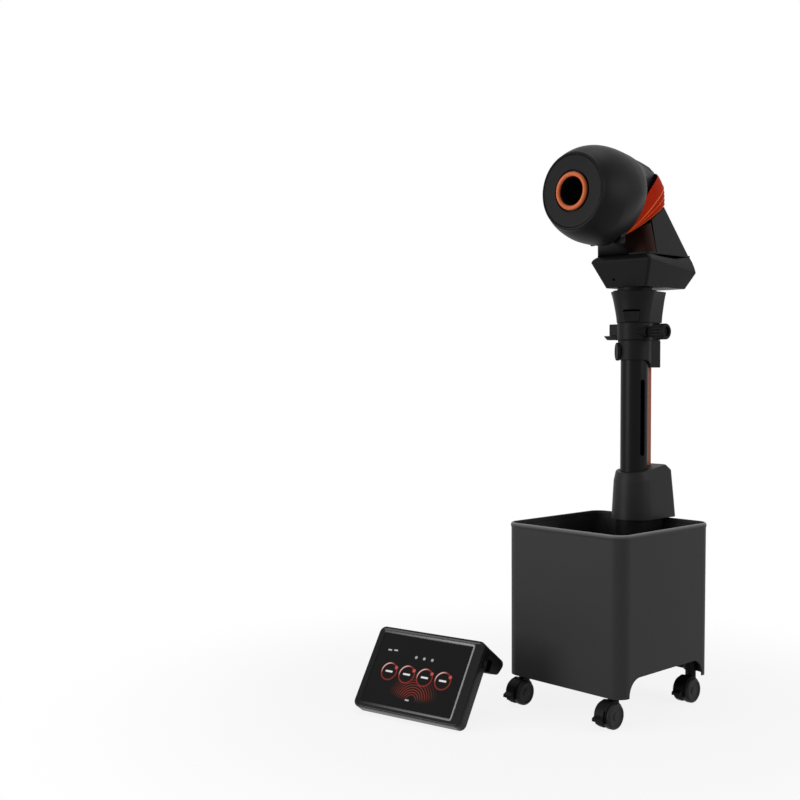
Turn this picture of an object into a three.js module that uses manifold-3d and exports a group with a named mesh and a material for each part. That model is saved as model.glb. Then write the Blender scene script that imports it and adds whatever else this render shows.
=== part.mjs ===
// Table tennis robot: a ball bin on four braked casters, a lift at the bin's rear wall, a ball
// tube with a clamped height carriage, a yawing turret and a tilting throwing head with two
// driven wheels. A separate touch console stands beside the bin.
// Millimetres, +Z up, the nozzle throws along -Y. The origin is the bottom centre of the whole.

import * as THREE from 'three';
import { mergeVertices } from 'three/addons/utils/BufferGeometryUtils.js';
import Module from 'manifold-3d';

const wasm = await Module();
wasm.setup();

// Shared values
const gap = 0.3;              // clearance between pieces that touch
const running = 0.5;          // clearance between pieces that turn or slide
const overrun = 2;            // how far a cutting tool runs past what it cuts
const wall = 3;               // moulded housing wall
const half = 0.5;
const turn = Math.PI * 2;
const degree = Math.PI / 180;

// Ball path
const ballSize = 40;
const ballClearance = 7;      // the tube's bore is this much wider than the ball
const tubeWall = 2.5;
const tubeBore = (ballSize + ballClearance) * half;
const tubeRadius = tubeBore + tubeWall;
const tubeY = 79;             // tube axis, behind the bin's centre
const tubeLow = 346;
const tubeTop = 701;
const slotWidth = 7;
const slotAngle = -14;         // direction of the slot around the tube, from +X
const slotLow = 459;
const slotHigh = 604;

// Bin
const binWidth = 267;
const binDepth = 281;
const binWall = 3;
const binCorner = 27;
const binLow = 53;
const binRim = 338;
const binDraft = 2;           // each side is this much narrower at the bottom
const lipHeight = 8;
const lipWidth = 2;
const archTop = 85.5;         // raised edge between the corner feet on the two sides
const archCorner = 30;
const archFoot = 27;          // length of each corner foot along the side
const floorPlate = 3;
const floorLift = 34;         // how much higher the ball floor is at the front
const floorThick = 5;

// Casters
const casterInsetX = 31.5;     // from the bin's side to the caster's stem
const casterInsetY = 20.5;
const casterX = binWidth * half - casterInsetX;
const casterY = binDepth * half - casterInsetY;
const casterTrail = 13;
const casterWheel = 23;       // wheel radius
const casterTread = 13;       // width of one wheel of the pair
const casterSpacing = 9;      // gap between the two wheels of a pair
const casterStem = 5;
const casterStemHigh = 74;
const casterHood = 2.6;
const casterAxle = 3;
const bossRadius = 13;
const hoodFromAngle = 35;     // where the caster's hood starts and ends round the axle
const hoodToAngle = 200;

// Lift
const hoodFront = 33;         // front radius of the lift housing at its top
const hoodFrontLow = 42;
const hoodBack = 57;          // reach behind the tube axis at the top
const hoodBackLow = 82;
const hoodCorner = 14;
const hoodTop = 427;
const hoodRise = 13;          // its top is this much higher at the back
const hoodChamfer = 5;
const towerInset = 4;         // the tower below is this much slimmer than the housing
const pickupRadius = 30;
const pickupWidth = 30;
const pickupZ = 150;
const pickupPaddles = 6;
const liftMotorRadius = 15;
const liftMotorLength = 26;

// Guide rail behind the tube
const railWidth = 8;
const railDepth = 22;
const railLow = 430;
const railTop = 652;

// Height carriage
const collarRadius = 30.8;
const collarBack = 53;
const collarHalf = 27;
const collarCorner = 10;
const collarLow = 641;
const collarMid = 679;
const collarTop = 712;
const tailDrop = 15;
const tailFront = 8;
const knobRadius = 16;
const knobThick = 6;
const knobZ = 657;
const knobNeck = 7;
const knobTeeth = 20;
const knobAngle = -133;       // direction of the thumb wheel around the tube, from +X
const gripRadius = 15;
const gripStart = 35;
const gripLength = 32;
const gripNeck = 10;
const gripRibs = 12;
const gripZ = 694;
const catchReach = 54;
const catchDepth = 16;
const catchLow = 688;
const catchHigh = 710;
const leverReach = 67;
const leverThick = 8;
const leverDepth = 22;
const leverPin = 3;

// Socket (funnel) over the carriage
const socketTop = 771;
const socketFront = 44;
const socketBack = 58;
const socketHalf = 36;
const socketWall = 3.5;
const latchAngle = -65;       // direction of the latch button around the tube, from +X
const latchLow = 714;
const latchHigh = 735;
const latchWide = 32;
const latchNarrow = 26;
const latchThick = 6;
const latchTravel = 2;
const swivelRadius = 33;

// Turret
const trayLow = 778.5;
const trayEdgeFront = 827.5;
const trayEdgeBack = 808;
const trayHalf = 67;
const trayFront = 31;
const trayBack = 182;
const trayLowHalf = 46;
const trayLowFront = 49;
const trayLowBack = 179;
const trayTop = 838;
const trayBevel = 8;
const trayPlate = 3;
const yawMotorRadius = 14;
const yawMotorLength = 24;
const yawMotorY = 148;
const neckHalfLow = 59;
const neckHalfTop = 30;
const neckFront = 74;
const neckReach = 154;        // length of the neck's mouth from the hinge
const neckBack = 180;
const neckPlate = 3;
const cheekWall = 4;
const armLeft = -58;          // foot of the hinge arm, cut short on its right side
const armRight = 14;
const armFront = 38;
const armBack = 52;

// Tilt hinge and fan
const hingeY = -8;
const hingeZ = 860;
const hingeRadius = 6;
const hingePin = 2.5;
const knuckleHalf = 19;      // half length of the neck's centre knuckle
const lugNear = 31.3;         // the head's two side lugs on the pin
const lugFar = 36.3;
const lugRise = 16;
const fanLowAngle = 29;            // angle of the neck's mouth at the hinge, degrees
const fanHighAngle = 47.5;          // angle of the head's mouth
const fanSlackAngle = 0.3;         // angle left free above and below each rib
const ribCount = 5;
const ribSpanAngle = 8;            // angle covered by one rib
const ribWall = 1.8;
const ribStep = 2.4;          // each rib is this much smaller than the one below
const ribReach = 192;
const ribHalf = 45;
const ribEye = 5;             // radius of each rib's eyes on the pin
// Half outline of the largest rib from the pin outwards: reach and half width
const fanOutlineShares = [
  [0.015, 0.689], [0.050, 0.689], [0.150, 0.800], [0.290, 0.920], [0.450, 0.995], [0.610, 0.982],
  [0.760, 0.885], [0.880, 0.695], [0.960, 0.400], [1.000, 0.000],
];

// Throwing head
const headZ = 943;            // height of the throwing axis
const headFront = -113;
const headBack = 136;
const headRadius = 92;        // at the widest station
const headWall = 3;
const nozzleOuter = 35;
const nozzleInner = 25.5;
const nozzleDepth = 9;
const nozzleStand = 5;
const frontPlateRadius = 65.5;
const frontPlateThick = 4;
const barrelLength = 44;
const barrelWall = 3;
const barrelFlange = 38;
const throwWheel = 31;
const throwWidth = 18;
const throwSqueeze = 1;       // each wheel bites this far into the ball
const throwY = -30;
const throwShaft = 3;
const throwMotor = 14;
const throwMotorLength = 34;
const frameThick = 3;
const headKeelPower = 1.5;         // roundness of the underside behind the middle, 2 being an ellipse
const headKeelFromShare = 0.2;     // share of the length where the underside starts to sharpen
const headKeelFullShare = 0.45;
const hatchFront = 40;
const hatchBack = 112;
const hatchThick = 1.7;       // the hatch lies in a recess, over the rest of the wall
const hatchHalf = 19;
// Stations along the head: place from front to back, half width, height above and below axis
const headStationShares = [
  [0.000, 0.735, 0.75, 0.75], [0.050, 0.81, 0.83, 0.84], [0.110, 0.87, 0.9, 0.91],
  [0.200, 0.92, 0.955, 0.975], [0.300, 0.935, 0.96, 1.005], [0.400, 0.905, 0.93, 0.99],
  [0.500, 0.80, 0.89, 0.93], [0.600, 0.60, 0.855, 0.80], [0.700, 0.42, 0.825, 0.62],
  [0.800, 0.33, 0.785, 0.48], [0.900, 0.27, 0.73, 0.38], [1.000, 0.22, 0.665, 0.28],
];

// Console
const consoleWidth = 230;
const consoleHeight = 158;
const consoleThick = 20;
const consoleCorner = 12;
const consoleBezel = 5;       // raised rim around the screen
const consoleRim = 12;        // width of that rim
const consoleSide = 24;       // the wider rim on the right
const consoleGlass = 2;
const consoleTiltAngle = 55;  // slope of the console where it stands
const consoleTurnAngle = 11.3;
const consoleX = -167;
const consoleY = -353;
const hookWidth = 222;
const hookReach = 60;         // how far the hook stands out behind the case
const hookDrop = 36;          // how far its lip comes down
const hookArm = 14;
const hookSlot = 16;          // width of the rim that the hook takes
const hookPlate = 6;
const propHalf = 15;          // half width of the fold-out leg
const propHinge = 112;        // place of the leg's hinge up the back of the case
const propBack = 100;         // how far its foot stands behind the console's lower edge
const propThick = 5;
const propEye = 5;
const propPin = 2.5;
const propLug = 4;
const buttonRadius = 5;
const buttonReach = 2;
const buttonTravel = 1.5;

// Facets
const roundSides = 24;
const smallSides = 8;
const casterSides = 16;
const arcSteps = 3;

// A bore of few sides, wide enough that its flats clear the shaft turning in it
function boreFor(radius) {
  return (radius + gap) / Math.cos(Math.PI / smallSides);
}

// Solids
function solid(geometry) {
  const bare = geometry.clone();
  bare.deleteAttribute('normal');
  bare.deleteAttribute('uv');
  const merged = mergeVertices(bare, 1e-5);
  const vertProperties = new Float32Array(merged.attributes.position.array);
  const triVerts = new Uint32Array(merged.index.array);
  return new wasm.Manifold(new wasm.Mesh({ numProp: 3, vertProperties, triVerts }));
}

function surface(body) {
  const mesh = body.getMesh();
  const geometry = new THREE.BufferGeometry();
  geometry.setAttribute('position', new THREE.BufferAttribute(new Float32Array(mesh.vertProperties), 3));
  geometry.setIndex(new THREE.BufferAttribute(new Uint32Array(mesh.triVerts), 1));
  return geometry;
}

function joined(...bodies) {
  return bodies.reduce((whole, body) => whole.add(body));
}

function carved(body, ...tools) {
  return tools.reduce((rest, tool) => rest.subtract(tool), body);
}

function placed(geometry, x, y, z) {
  return geometry.translate(x, y, z);
}

// A box between two corners
function block(low, high) {
  const size = high.map((value, axis) => value - low[axis]);
  const centre = high.map((value, axis) => (value + low[axis]) * half);
  return solid(placed(new THREE.BoxGeometry(...size), ...centre));
}

// A round bar between two points
function rod(radius, start, end, sides = roundSides, endRadius = radius) {
  const from = new THREE.Vector3(...start);
  const along = new THREE.Vector3(...end).sub(from);
  const geometry = new THREE.CylinderGeometry(endRadius, radius, along.length(), sides);
  const up = new THREE.Vector3(0, 1, 0);
  const pose = new THREE.Quaternion().setFromUnitVectors(up, along.clone().normalize());
  geometry.applyQuaternion(pose);
  from.addScaledVector(along, half);
  return solid(placed(geometry, from.x, from.y, from.z));
}

// An outline in X and Y raised between two heights
function raised(points, low, high) {
  const shape = new THREE.Shape(points.map(([x, y]) => new THREE.Vector2(x, y)));
  const geometry = new THREE.ExtrudeGeometry(shape, { depth: high - low, bevelEnabled: false });
  return solid(placed(geometry, 0, 0, low));
}

// A side outline in Y and Z drawn across from one X to another
function drawnAcross(points, low, high) {
  const shape = new THREE.Shape(points.map(([y, z]) => new THREE.Vector2(y, z)));
  const geometry = new THREE.ExtrudeGeometry(shape, { depth: high - low, bevelEnabled: false });
  const axes = new THREE.Matrix4().makeBasis(
    new THREE.Vector3(0, 1, 0), new THREE.Vector3(0, 0, 1), new THREE.Vector3(1, 0, 0));
  geometry.applyMatrix4(axes);
  return solid(placed(geometry, low, 0, 0));
}

// Turns the triangles over when the enclosed volume comes out negative
function facingOut(geometry) {
  const bare = geometry.clone();
  bare.deleteAttribute('normal');
  bare.deleteAttribute('uv');
  const merged = mergeVertices(bare, 1e-5);
  const index = merged.index.array;
  const place = merged.attributes.position;
  const [a, b, c] = [new THREE.Vector3(), new THREE.Vector3(), new THREE.Vector3()];
  let volume = 0;
  for (let i = 0; i < index.length; i += 3) {
    a.fromBufferAttribute(place, index[i]);
    b.fromBufferAttribute(place, index[i + 1]);
    c.fromBufferAttribute(place, index[i + 2]);
    volume += a.dot(b.cross(c));
  }
  if (volume < 0) {
    for (let i = 0; i < index.length; i += 3) {
      [index[i + 1], index[i + 2]] = [index[i + 2], index[i + 1]];
    }
  }
  return merged;
}

// A skin over loops of equal length; ends are capped, or the last loop meets the first
function skinned(loops, ring = false) {
  const count = loops[0].length;
  const places = loops.flat().flatMap((point) => [point.x, point.y, point.z]);
  const index = [];
  const rows = ring ? loops.length : loops.length - 1;
  for (let i = 0; i < rows; i += 1) {
    const next = (i + 1) % loops.length;
    for (let j = 0; j < count; j += 1) {
      const k = (j + 1) % count;
      const [a, b, c, d] = [i * count + j, i * count + k, next * count + k, next * count + j];
      index.push(a, b, c, a, c, d);
    }
  }
  if (!ring) {
    for (const [row, flip] of [[0, true], [loops.length - 1, false]]) {
      const centre = loops[row].reduce((sum, point) => sum.add(point), new THREE.Vector3());
      centre.divideScalar(count);
      const hub = places.length / 3;
      places.push(centre.x, centre.y, centre.z);
      for (let j = 0; j < count; j += 1) {
        const [from, to] = [row * count + j, row * count + (j + 1) % count];
        index.push(...(flip ? [hub, to, from] : [hub, from, to]));
      }
    }
  }
  const geometry = new THREE.BufferGeometry();
  geometry.setAttribute('position', new THREE.Float32BufferAttribute(places, 3));
  geometry.setIndex(index);
  return solid(facingOut(geometry));
}

// Outlines
function arc(x, y, radius, start, end, steps = arcSteps) {
  return Array.from({ length: steps + 1 }, (_, i) => {
    const angle = (start + (end - start) * i / steps) * degree;
    return [x + radius * Math.cos(angle), y + radius * Math.sin(angle)];
  });
}

function roundedBox(halfX, lowY, highY, radius) {
  const [inX, inLow, inHigh] = [halfX - radius, lowY + radius, highY - radius];
  return [
    ...arc(inX, inLow, radius, -90, 0), ...arc(inX, inHigh, radius, 0, 90),
    ...arc(-inX, inHigh, radius, 90, 180), ...arc(-inX, inLow, radius, 180, 270),
  ];
}

// Round at the front of the tube, squared off behind it
function hoodOutline(radius, back, corner, side = radius) {
  return [
    ...arc(0, tubeY, radius, 180, 360, arcSteps * 3),
    ...arc(side - corner, tubeY + back - corner, corner, 0, 90),
    ...arc(corner - side, tubeY + back - corner, corner, 90, 180),
  ];
}

function level(points, height) {
  return points.map(([x, y]) => new THREE.Vector3(x, y, height));
}

function about(angle, radius, height) {
  const [x, y] = [Math.cos(angle * degree), Math.sin(angle * degree)];
  return [radius * x, tubeY + radius * y, height];
}

// Bin
function binShell() {
  const side = (inset, z) => level(
    roundedBox(binWidth * half - inset, inset - binDepth * half, binDepth * half - inset,
      binCorner - inset), z);
  const round = lipWidth * half;
  const walls = skinned([
    side(binDraft, binLow), side(lipWidth * half, binRim - lipHeight), side(0, binRim - lipHeight),
    side(0, binRim - round), side(round, binRim), side(binWall + round, binRim),
    side(binWall + lipWidth, binRim - round), side(binWall + lipWidth, binRim - lipHeight),
    side(binWall + round, binRim - lipHeight), side(binWall + binDraft, binLow),
  ], true);
  const footY = binDepth * half - archFoot;
  const arch = drawnAcross([
    [-footY, binLow - overrun], [footY, binLow - overrun],
    ...arc(footY - archCorner, archTop - archCorner, archCorner, 0, 90),
    ...arc(archCorner - footY, archTop - archCorner, archCorner, 90, 180),
  ], -binWidth, binWidth);
  return carved(walls, arch);
}

function insideBin(clearance) {
  const inset = binWall + binDraft + clearance;
  return roundedBox(binWidth * half - inset, inset - binDepth * half, binDepth * half - inset,
    binCorner - inset);
}

const casterPlaces = [
  ['front_left', -1, -1], ['front_right', 1, -1], ['rear_left', -1, 1], ['rear_right', 1, 1],
].map(([name, x, y]) => ({ name, x: x * casterX, y: y * casterY }));

const plateLow = archTop + gap;
const plateHigh = plateLow + floorPlate;

function basePlate() {
  const plate = raised(insideBin(gap), plateLow, plateHigh);
  const bosses = casterPlaces.map(({ x, y }) => rod(
    bossRadius, [x, y, casterStemHigh - overrun - bossRadius], [x, y, plateLow + floorPlate * half], casterSides));
  const bores = casterPlaces.map(({ x, y }) => rod(
    boreFor(casterStem), [x, y, 0], [x, y, casterStemHigh + gap], smallSides));
  return carved(joined(plate, ...bosses), ...bores);
}

const ballFloorLow = plateHigh + gap;
const ballFloorRear = ballFloorLow + floorThick;

function ballFloor() {
  const edge = binDepth * half;
  const wedge = drawnAcross([
    [-edge, ballFloorLow], [edge, ballFloorLow], [edge, ballFloorRear], [0, ballFloorRear],
    [-edge, ballFloorRear + floorLift],
  ], -binWidth, binWidth);
  return wedge.intersect(raised(insideBin(gap), ballFloorLow - overrun, binRim));
}

// Casters
const forkTop = casterStemHigh - overrun - bossRadius - gap;

function casterFork({ x, y }) {
  const hoodRadius = casterWheel + running + casterHood;
  const hoodHalf = casterSpacing * half - running;
  const axleY = y - casterTrail;
  const web = drawnAcross([
    ...arc(axleY, casterWheel, casterWheel - casterHood, hoodToAngle, 340),
    ...arc(axleY, casterWheel, hoodRadius, 0, 205, arcSteps * 2),
  ], x - hoodHalf, x + hoodHalf);
  const outer = casterSpacing * half + casterTread * half;
  const hood = drawnAcross([
    ...arc(axleY, casterWheel, hoodRadius, hoodFromAngle, hoodToAngle, arcSteps * 2),
    ...arc(axleY, casterWheel, casterWheel, hoodToAngle, hoodFromAngle),
  ], x - outer, x + outer);
  const neck = rod(casterStem * 2, [x, y, casterWheel * 1.2], [x, y, forkTop], smallSides);
  const stem = rod(casterStem, [x, y, casterWheel], [x, y, casterStemHigh], smallSides);
  const wheelRoom = [-1, 1].map((sign) => {
    const near = x + sign * (casterSpacing * half - running);
    const far = x + sign * (casterSpacing * half + casterTread + overrun);
    return rod(casterWheel + running, [near, axleY, casterWheel], [far, axleY, casterWheel], casterSides);
  });
  const axleRoom = rod(boreFor(casterAxle), [x - outer, axleY, casterWheel], [x + outer, axleY, casterWheel],
    smallSides);
  return carved(joined(web, hood, neck, stem), ...wheelRoom, axleRoom);
}

function casterWheels({ x, y }) {
  const axleY = y - casterTrail;
  const inner = casterSpacing * half;
  const outer = inner + casterTread;
  const edge = casterTread * 0.12;
  const dish = casterWheel * 0.62;
  const profile = [
    [casterAxle * half, inner], [casterWheel, inner], [casterWheel, outer - edge * 2],
    [casterWheel - edge * 1.5, outer - edge * 0.3], [dish, outer], [casterAxle * half, outer - edge],
  ];
  const wheel = (sign) => {
    const points = profile.map(([radius, height]) => new THREE.Vector2(radius, height));
    points.push(points[0].clone());
    const geometry = new THREE.LatheGeometry(points, casterSides);
    geometry.rotateZ(-sign * Math.PI * half);
    return solid(facingOut(placed(geometry, x, axleY, casterWheel)));
  };
  const axle = rod(casterAxle, [x - outer + edge * half, axleY, casterWheel],
    [x + outer - edge * half, axleY, casterWheel], smallSides);
  return joined(wheel(-1), wheel(1), axle);
}

function casterBrake({ x, y }) {
  const axleY = y - casterTrail;
  const reach = casterWheel + running + casterHood + gap * 2;
  const halfWide = casterSpacing * half + casterTread * 0.3;
  const thick = casterHood;
  return drawnAcross([
    ...arc(axleY, casterWheel, reach, 150, 205),
    ...arc(axleY, casterWheel, reach + thick, 205, 186),
    [axleY - reach - thick * 4, casterWheel - thick * 2], [axleY - reach - thick * 4, casterWheel],
    ...arc(axleY, casterWheel, reach + thick, 172, 150),
  ], x - halfWide, x + halfWide);
}

// Lift
function tilted(points, front, rise, reachFront, reachBack) {
  return points.map(([x, y]) => {
    const share = (y - tubeY + reachFront) / (reachFront + reachBack);
    return new THREE.Vector3(x, y, front + rise * share);
  });
}

function liftHousing() {
  const low = binRim + gap;
  const top = (inset, drop) => tilted(
    hoodOutline(hoodFront - inset, hoodBack - inset, hoodCorner - inset), hoodTop - drop, hoodRise,
    hoodFront, hoodBack);
  const outer = skinned([
    level(hoodOutline(hoodFrontLow, hoodBackLow, hoodCorner), low),
    top(0, hoodChamfer), top(hoodChamfer * half, 0),
  ]);
  const inner = skinned([
    level(hoodOutline(hoodFrontLow - wall, hoodBackLow - wall, hoodCorner - wall), low - overrun),
    top(wall, hoodChamfer + wall),
  ]);
  const bore = rod(tubeRadius + gap, [0, tubeY, low], [0, tubeY, hoodTop + hoodRise + overrun]);
  const railCut = block([-railWidth * half - gap, tubeY, hoodTop - hoodChamfer - wall],
    [railWidth * half + gap, tubeY + tubeRadius + railDepth + gap, hoodTop + hoodRise + overrun]);
  return carved(outer, inner, bore, railCut);
}

const towerFront = hoodFrontLow - wall - gap;

function liftTower() {
  const low = ballFloorRear + gap;
  const back = binDepth * half - binWall - lipWidth - gap - tubeY;
  const outline = (inset) => hoodOutline(
    towerFront - towerInset - inset, back - inset, hoodCorner - inset);
  const body = raised(outline(0), low, tubeLow - gap);
  const room = raised(outline(wall), low - overrun, tubeLow - gap - wall);
  const mouth = block([-tubeBore, 0, low - overrun], [tubeBore, tubeY, pickupZ + pickupRadius]);
  const throat = rod(tubeBore, [0, tubeY, low], [0, tubeY, tubeLow + overrun]);
  const shaft = rod(boreFor(throwShaft), [-binWidth, tubeY, pickupZ], [binWidth, tubeY, pickupZ], smallSides);
  return carved(body, room, mouth, throat, shaft);
}

function pickupWheel() {
  const width = pickupWidth * half;
  const hub = rod(pickupRadius * 0.3, [-width, tubeY, pickupZ], [width, tubeY, pickupZ], smallSides);
  const shaftEnd = towerFront - towerInset;
  const shaft = rod(throwShaft, [-shaftEnd, tubeY, pickupZ], [shaftEnd, tubeY, pickupZ], smallSides);
  const paddles = Array.from({ length: pickupPaddles }, (_, i) => {
    const angle = turn * i / pickupPaddles;
    const tip = [0, Math.cos(angle), Math.sin(angle)].map((share) => share * pickupRadius);
    return rod(wall, [0, tubeY, pickupZ], [0, tubeY + tip[1], pickupZ + tip[2]], smallSides * half);
  });
  return joined(hub, shaft, ...paddles);
}

function liftMotor() {
  const start = towerFront - towerInset + gap;
  const body = rod(liftMotorRadius, [start, tubeY, pickupZ], [start + liftMotorLength, tubeY, pickupZ]);
  const cap = rod(liftMotorRadius * 0.6, [start + liftMotorLength - gap, tubeY, pickupZ],
    [start + liftMotorLength + wall, tubeY, pickupZ], smallSides);
  return joined(body, cap);
}

function ballTube() {
  const outer = rod(tubeRadius, [0, tubeY, tubeLow], [0, tubeY, tubeTop]);
  const bore = rod(tubeBore, [0, tubeY, tubeLow - overrun], [0, tubeY, tubeTop + overrun]);
  const slot = raised([
    about(slotAngle, 0, 0), about(slotAngle, tubeRadius + overrun, 0),
  ].flatMap(([x, y], i) => [-1, 1].map((sign) => {
    const side = (i ? -sign : sign) * slotWidth * half;
    return [x + side * Math.sin(slotAngle * degree), y - side * Math.cos(slotAngle * degree)];
  })), slotLow, slotHigh);
  return carved(outer, bore, slot);
}

function guideRail() {
  const front = tubeY + tubeRadius * 0.9;
  const bar = block([-railWidth * half, front, railLow],
    [railWidth * half, tubeY + tubeRadius + railDepth, railTop]);
  const tube = rod(tubeRadius + gap, [0, tubeY, railLow - overrun], [0, tubeY, railTop + overrun]);
  const groove = block([-railWidth * 0.16, tubeY + tubeRadius + railDepth * 0.75, railLow - overrun],
    [railWidth * 0.16, tubeY + tubeRadius + railDepth + overrun, railTop + overrun]);
  return carved(bar, tube, groove);
}

// Carriage
function collarOutline(inset = 0) {
  return [
    ...arc(0, tubeY, collarRadius - inset, 135, 405, arcSteps * 4),
    ...arc(collarHalf - collarCorner - inset, tubeY + collarBack - collarCorner - inset, collarCorner, 0, 90),
    ...arc(collarCorner + inset - collarHalf, tubeY + collarBack - collarCorner - inset, collarCorner, 90, 180),
  ];
}

function carriageBore(low, high) {
  const bore = rod(tubeRadius + gap, [0, tubeY, low - overrun], [0, tubeY, high + overrun]);
  const channel = block([-railWidth * half - running, tubeY, low - overrun],
    [railWidth * half + running, tubeY + tubeRadius + railDepth + running, high + overrun]);
  return joined(bore, channel);
}

const knobStart = tubeRadius + gap + wall;

function lowerCollar() {
  const body = raised(collarOutline(), collarLow - tailDrop, collarMid - gap);
  const frontCut = block([-binWidth, 0, collarLow - tailDrop - overrun],
    [binWidth, tubeY + tailFront, collarLow]);
  const flatAt = (radius) => about(knobAngle, radius, knobZ);
  const seat = rod(knobRadius + running, flatAt(knobStart - gap), flatAt(collarRadius + overrun));
  const screw = rod(boreFor(knobNeck * half), flatAt(tubeRadius), flatAt(collarRadius + overrun), smallSides);
  return carved(body, frontCut, carriageBore(collarLow - tailDrop, collarMid), seat, screw);
}

function ribbedEdge(radius, teeth, depth) {
  return Array.from({ length: teeth * 2 }, (_, i) => {
    const angle = turn * i / (teeth * 2);
    const reach = i % 2 ? radius - depth : radius;
    return [reach * Math.cos(angle), reach * Math.sin(angle)];
  });
}

// Lays a body that was drawn upwards from the origin along a direction around the tube
function laidOut(body, angle, radius, height) {
  const geometry = surface(body);
  geometry.rotateY(Math.PI * half);
  geometry.rotateZ(angle * degree);
  const [x, y, z] = about(angle, radius, height);
  return solid(placed(geometry, x, y, z));
}

function collarKnob() {
  const wheel = raised(ribbedEdge(knobRadius, knobTeeth, ribWall * half), 0, knobThick);
  const screw = rod(knobNeck * half, [0, 0, 0], [0, 0, gap - wall], smallSides);
  return laidOut(joined(wheel, screw), knobAngle, knobStart, knobZ);
}

function upperCollar() {
  const body = raised(collarOutline(), collarMid, collarTop - gap);
  const collarNeck = rod(gripNeck, [0, tubeY, gripZ], [gripStart - gap, tubeY, gripZ]);
  const catchBlock = block([-catchReach, tubeY - catchDepth * half, catchLow],
    [0, tubeY + catchDepth * half, catchHigh]);
  const pinAt = leverPinPlace();
  const pin = rod(leverPin, [pinAt[0], pinAt[1], catchLow - leverThick - gap * 2], [...pinAt, catchLow + gap]);
  const gripBore = rod(gripNeck * 0.4 + gap, [tubeRadius, tubeY, gripZ], [gripStart, tubeY, gripZ], smallSides);
  const leverRoom = block([-binWidth, tubeY - leverDepth, catchLow - leverThick - gap * 2],
    [-collarRadius * 0.99, tubeY + leverDepth, catchLow]);
  const whole = joined(carved(joined(body, collarNeck, catchBlock), leverRoom), pin);
  return carved(whole, carriageBore(collarMid, collarTop), gripBore);
}

function leverPinPlace() {
  return [-catchReach * 0.72, tubeY];
}

function clampGrip() {
  const barrel = raised(ribbedEdge(gripRadius, gripRibs, ribWall), 0, gripLength);
  const collarEnd = rod(gripRadius, [0, 0, gripLength - gap], [0, 0, gripLength + wall]);
  const nose = rod(gripRadius, [0, 0, gripLength + wall - gap],
    [0, 0, gripLength + wall * 2], roundSides, gripRadius * 0.8);
  const dish = rod(gripRadius * 0.62, [0, 0, gripLength], [0, 0, gripLength + wall * 2 + overrun]);
  const screw = rod(gripNeck * 0.4, [0, 0, gap - wall * 2], [0, 0, gripLength * half], smallSides);
  return laidOut(joined(carved(joined(barrel, collarEnd, nose), dish), screw), 0, gripStart, gripZ);
}

function clampLever() {
  const pin = leverPinPlace();
  const low = catchLow - leverThick - gap;
  const eye = -pin[0] - collarRadius - running;
  const deep = leverDepth * half;
  const plate = raised([
    ...arc(pin[0], tubeY, eye, -80, 80), [pin[0] - deep, tubeY + deep], [deep * half - leverReach, tubeY + deep],
    [-leverReach, tubeY + deep * half], [-leverReach, tubeY - deep * half],
    [deep * half - leverReach, tubeY - deep], [pin[0] - deep, tubeY - deep],
  ], low, catchLow - gap);
  const bore = rod(leverPin + gap, [...pin, low - overrun], [...pin, catchLow + overrun], smallSides);
  return carved(plate, bore);
}

// Socket over the carriage
function socketLoops(inset) {
  const stations = [[0, 0], [0.35, 0.10], [0.62, 0.32], [0.85, 0.68], [1, 1]];
  return stations.map(([rise, flare]) => {
    const front = collarRadius + (socketFront - collarRadius) * flare - inset;
    const back = collarBack + (socketBack - collarBack) * flare - inset;
    const side = collarRadius + (socketHalf - collarRadius) * flare - inset;
    return level(hoodOutline(front, back, collarCorner, Math.max(side, front * 0.8)),
      collarTop + (socketTop - collarTop) * rise);
  });
}

function headSocket() {
  const outer = skinned(socketLoops(0));
  const room = skinned([
    ...socketLoops(socketWall).map((loop) => loop.map(
      (point) => new THREE.Vector3(point.x, point.y, point.z + socketWall))),
  ]);
  const deep = raised(arc(0, tubeY, swivelRadius - wall, 0, 360 - 360 / roundSides, roundSides - 1),
    collarTop + wall * 3, socketTop + overrun);
  const pocket = latchBody(running, latchTravel + running, running);
  return carved(outer, room.intersect(deep.add(room)), carriageBore(collarTop, collarTop + wall * 4), pocket);
}

const latchSeat = tubeRadius + gap + latchTravel + running;

function latchBody(clearance, deeper, wider) {
  const outline = [
    [latchLow - clearance, -latchNarrow * half - wider], [latchLow - clearance, latchNarrow * half + wider],
    [latchHigh + clearance, latchWide * half + wider], [latchHigh + clearance, -latchWide * half - wider],
  ].map(([z, y]) => [-(z - latchLow), y]);
  const body = raised(outline, -deeper, latchThick + (deeper ? overrun : 0));
  return laidOut(body, latchAngle, latchSeat, latchLow);
}

function latchButton() {
  return latchBody(0, 0, 0);
}

function swivelRing() {
  const low = socketTop + gap;
  const body = rod(swivelRadius, [0, tubeY, low], [0, tubeY, trayLow - gap]);
  const seat = rod(socketFront * 0.92, [0, tubeY, low], [0, tubeY, low + ribWall]);
  const bore = rod(tubeRadius + gap, [0, tubeY, low - overrun], [0, tubeY, trayLow + overrun]);
  return carved(joined(body, seat), bore);
}

// Turret
function trayLoop(halfX, front, back, zFront, zBack) {
  const middle = (front + back) * half;
  const places = [
    [-halfX, front], [0, front], [halfX, front], [halfX, middle], [halfX, back],
    [0, back], [-halfX, back], [-halfX, middle],
  ];
  return places.map(([x, y]) => new THREE.Vector3(
    x, y, zFront + (zBack - zFront) * (y - front) / (back - front)));
}

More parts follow.
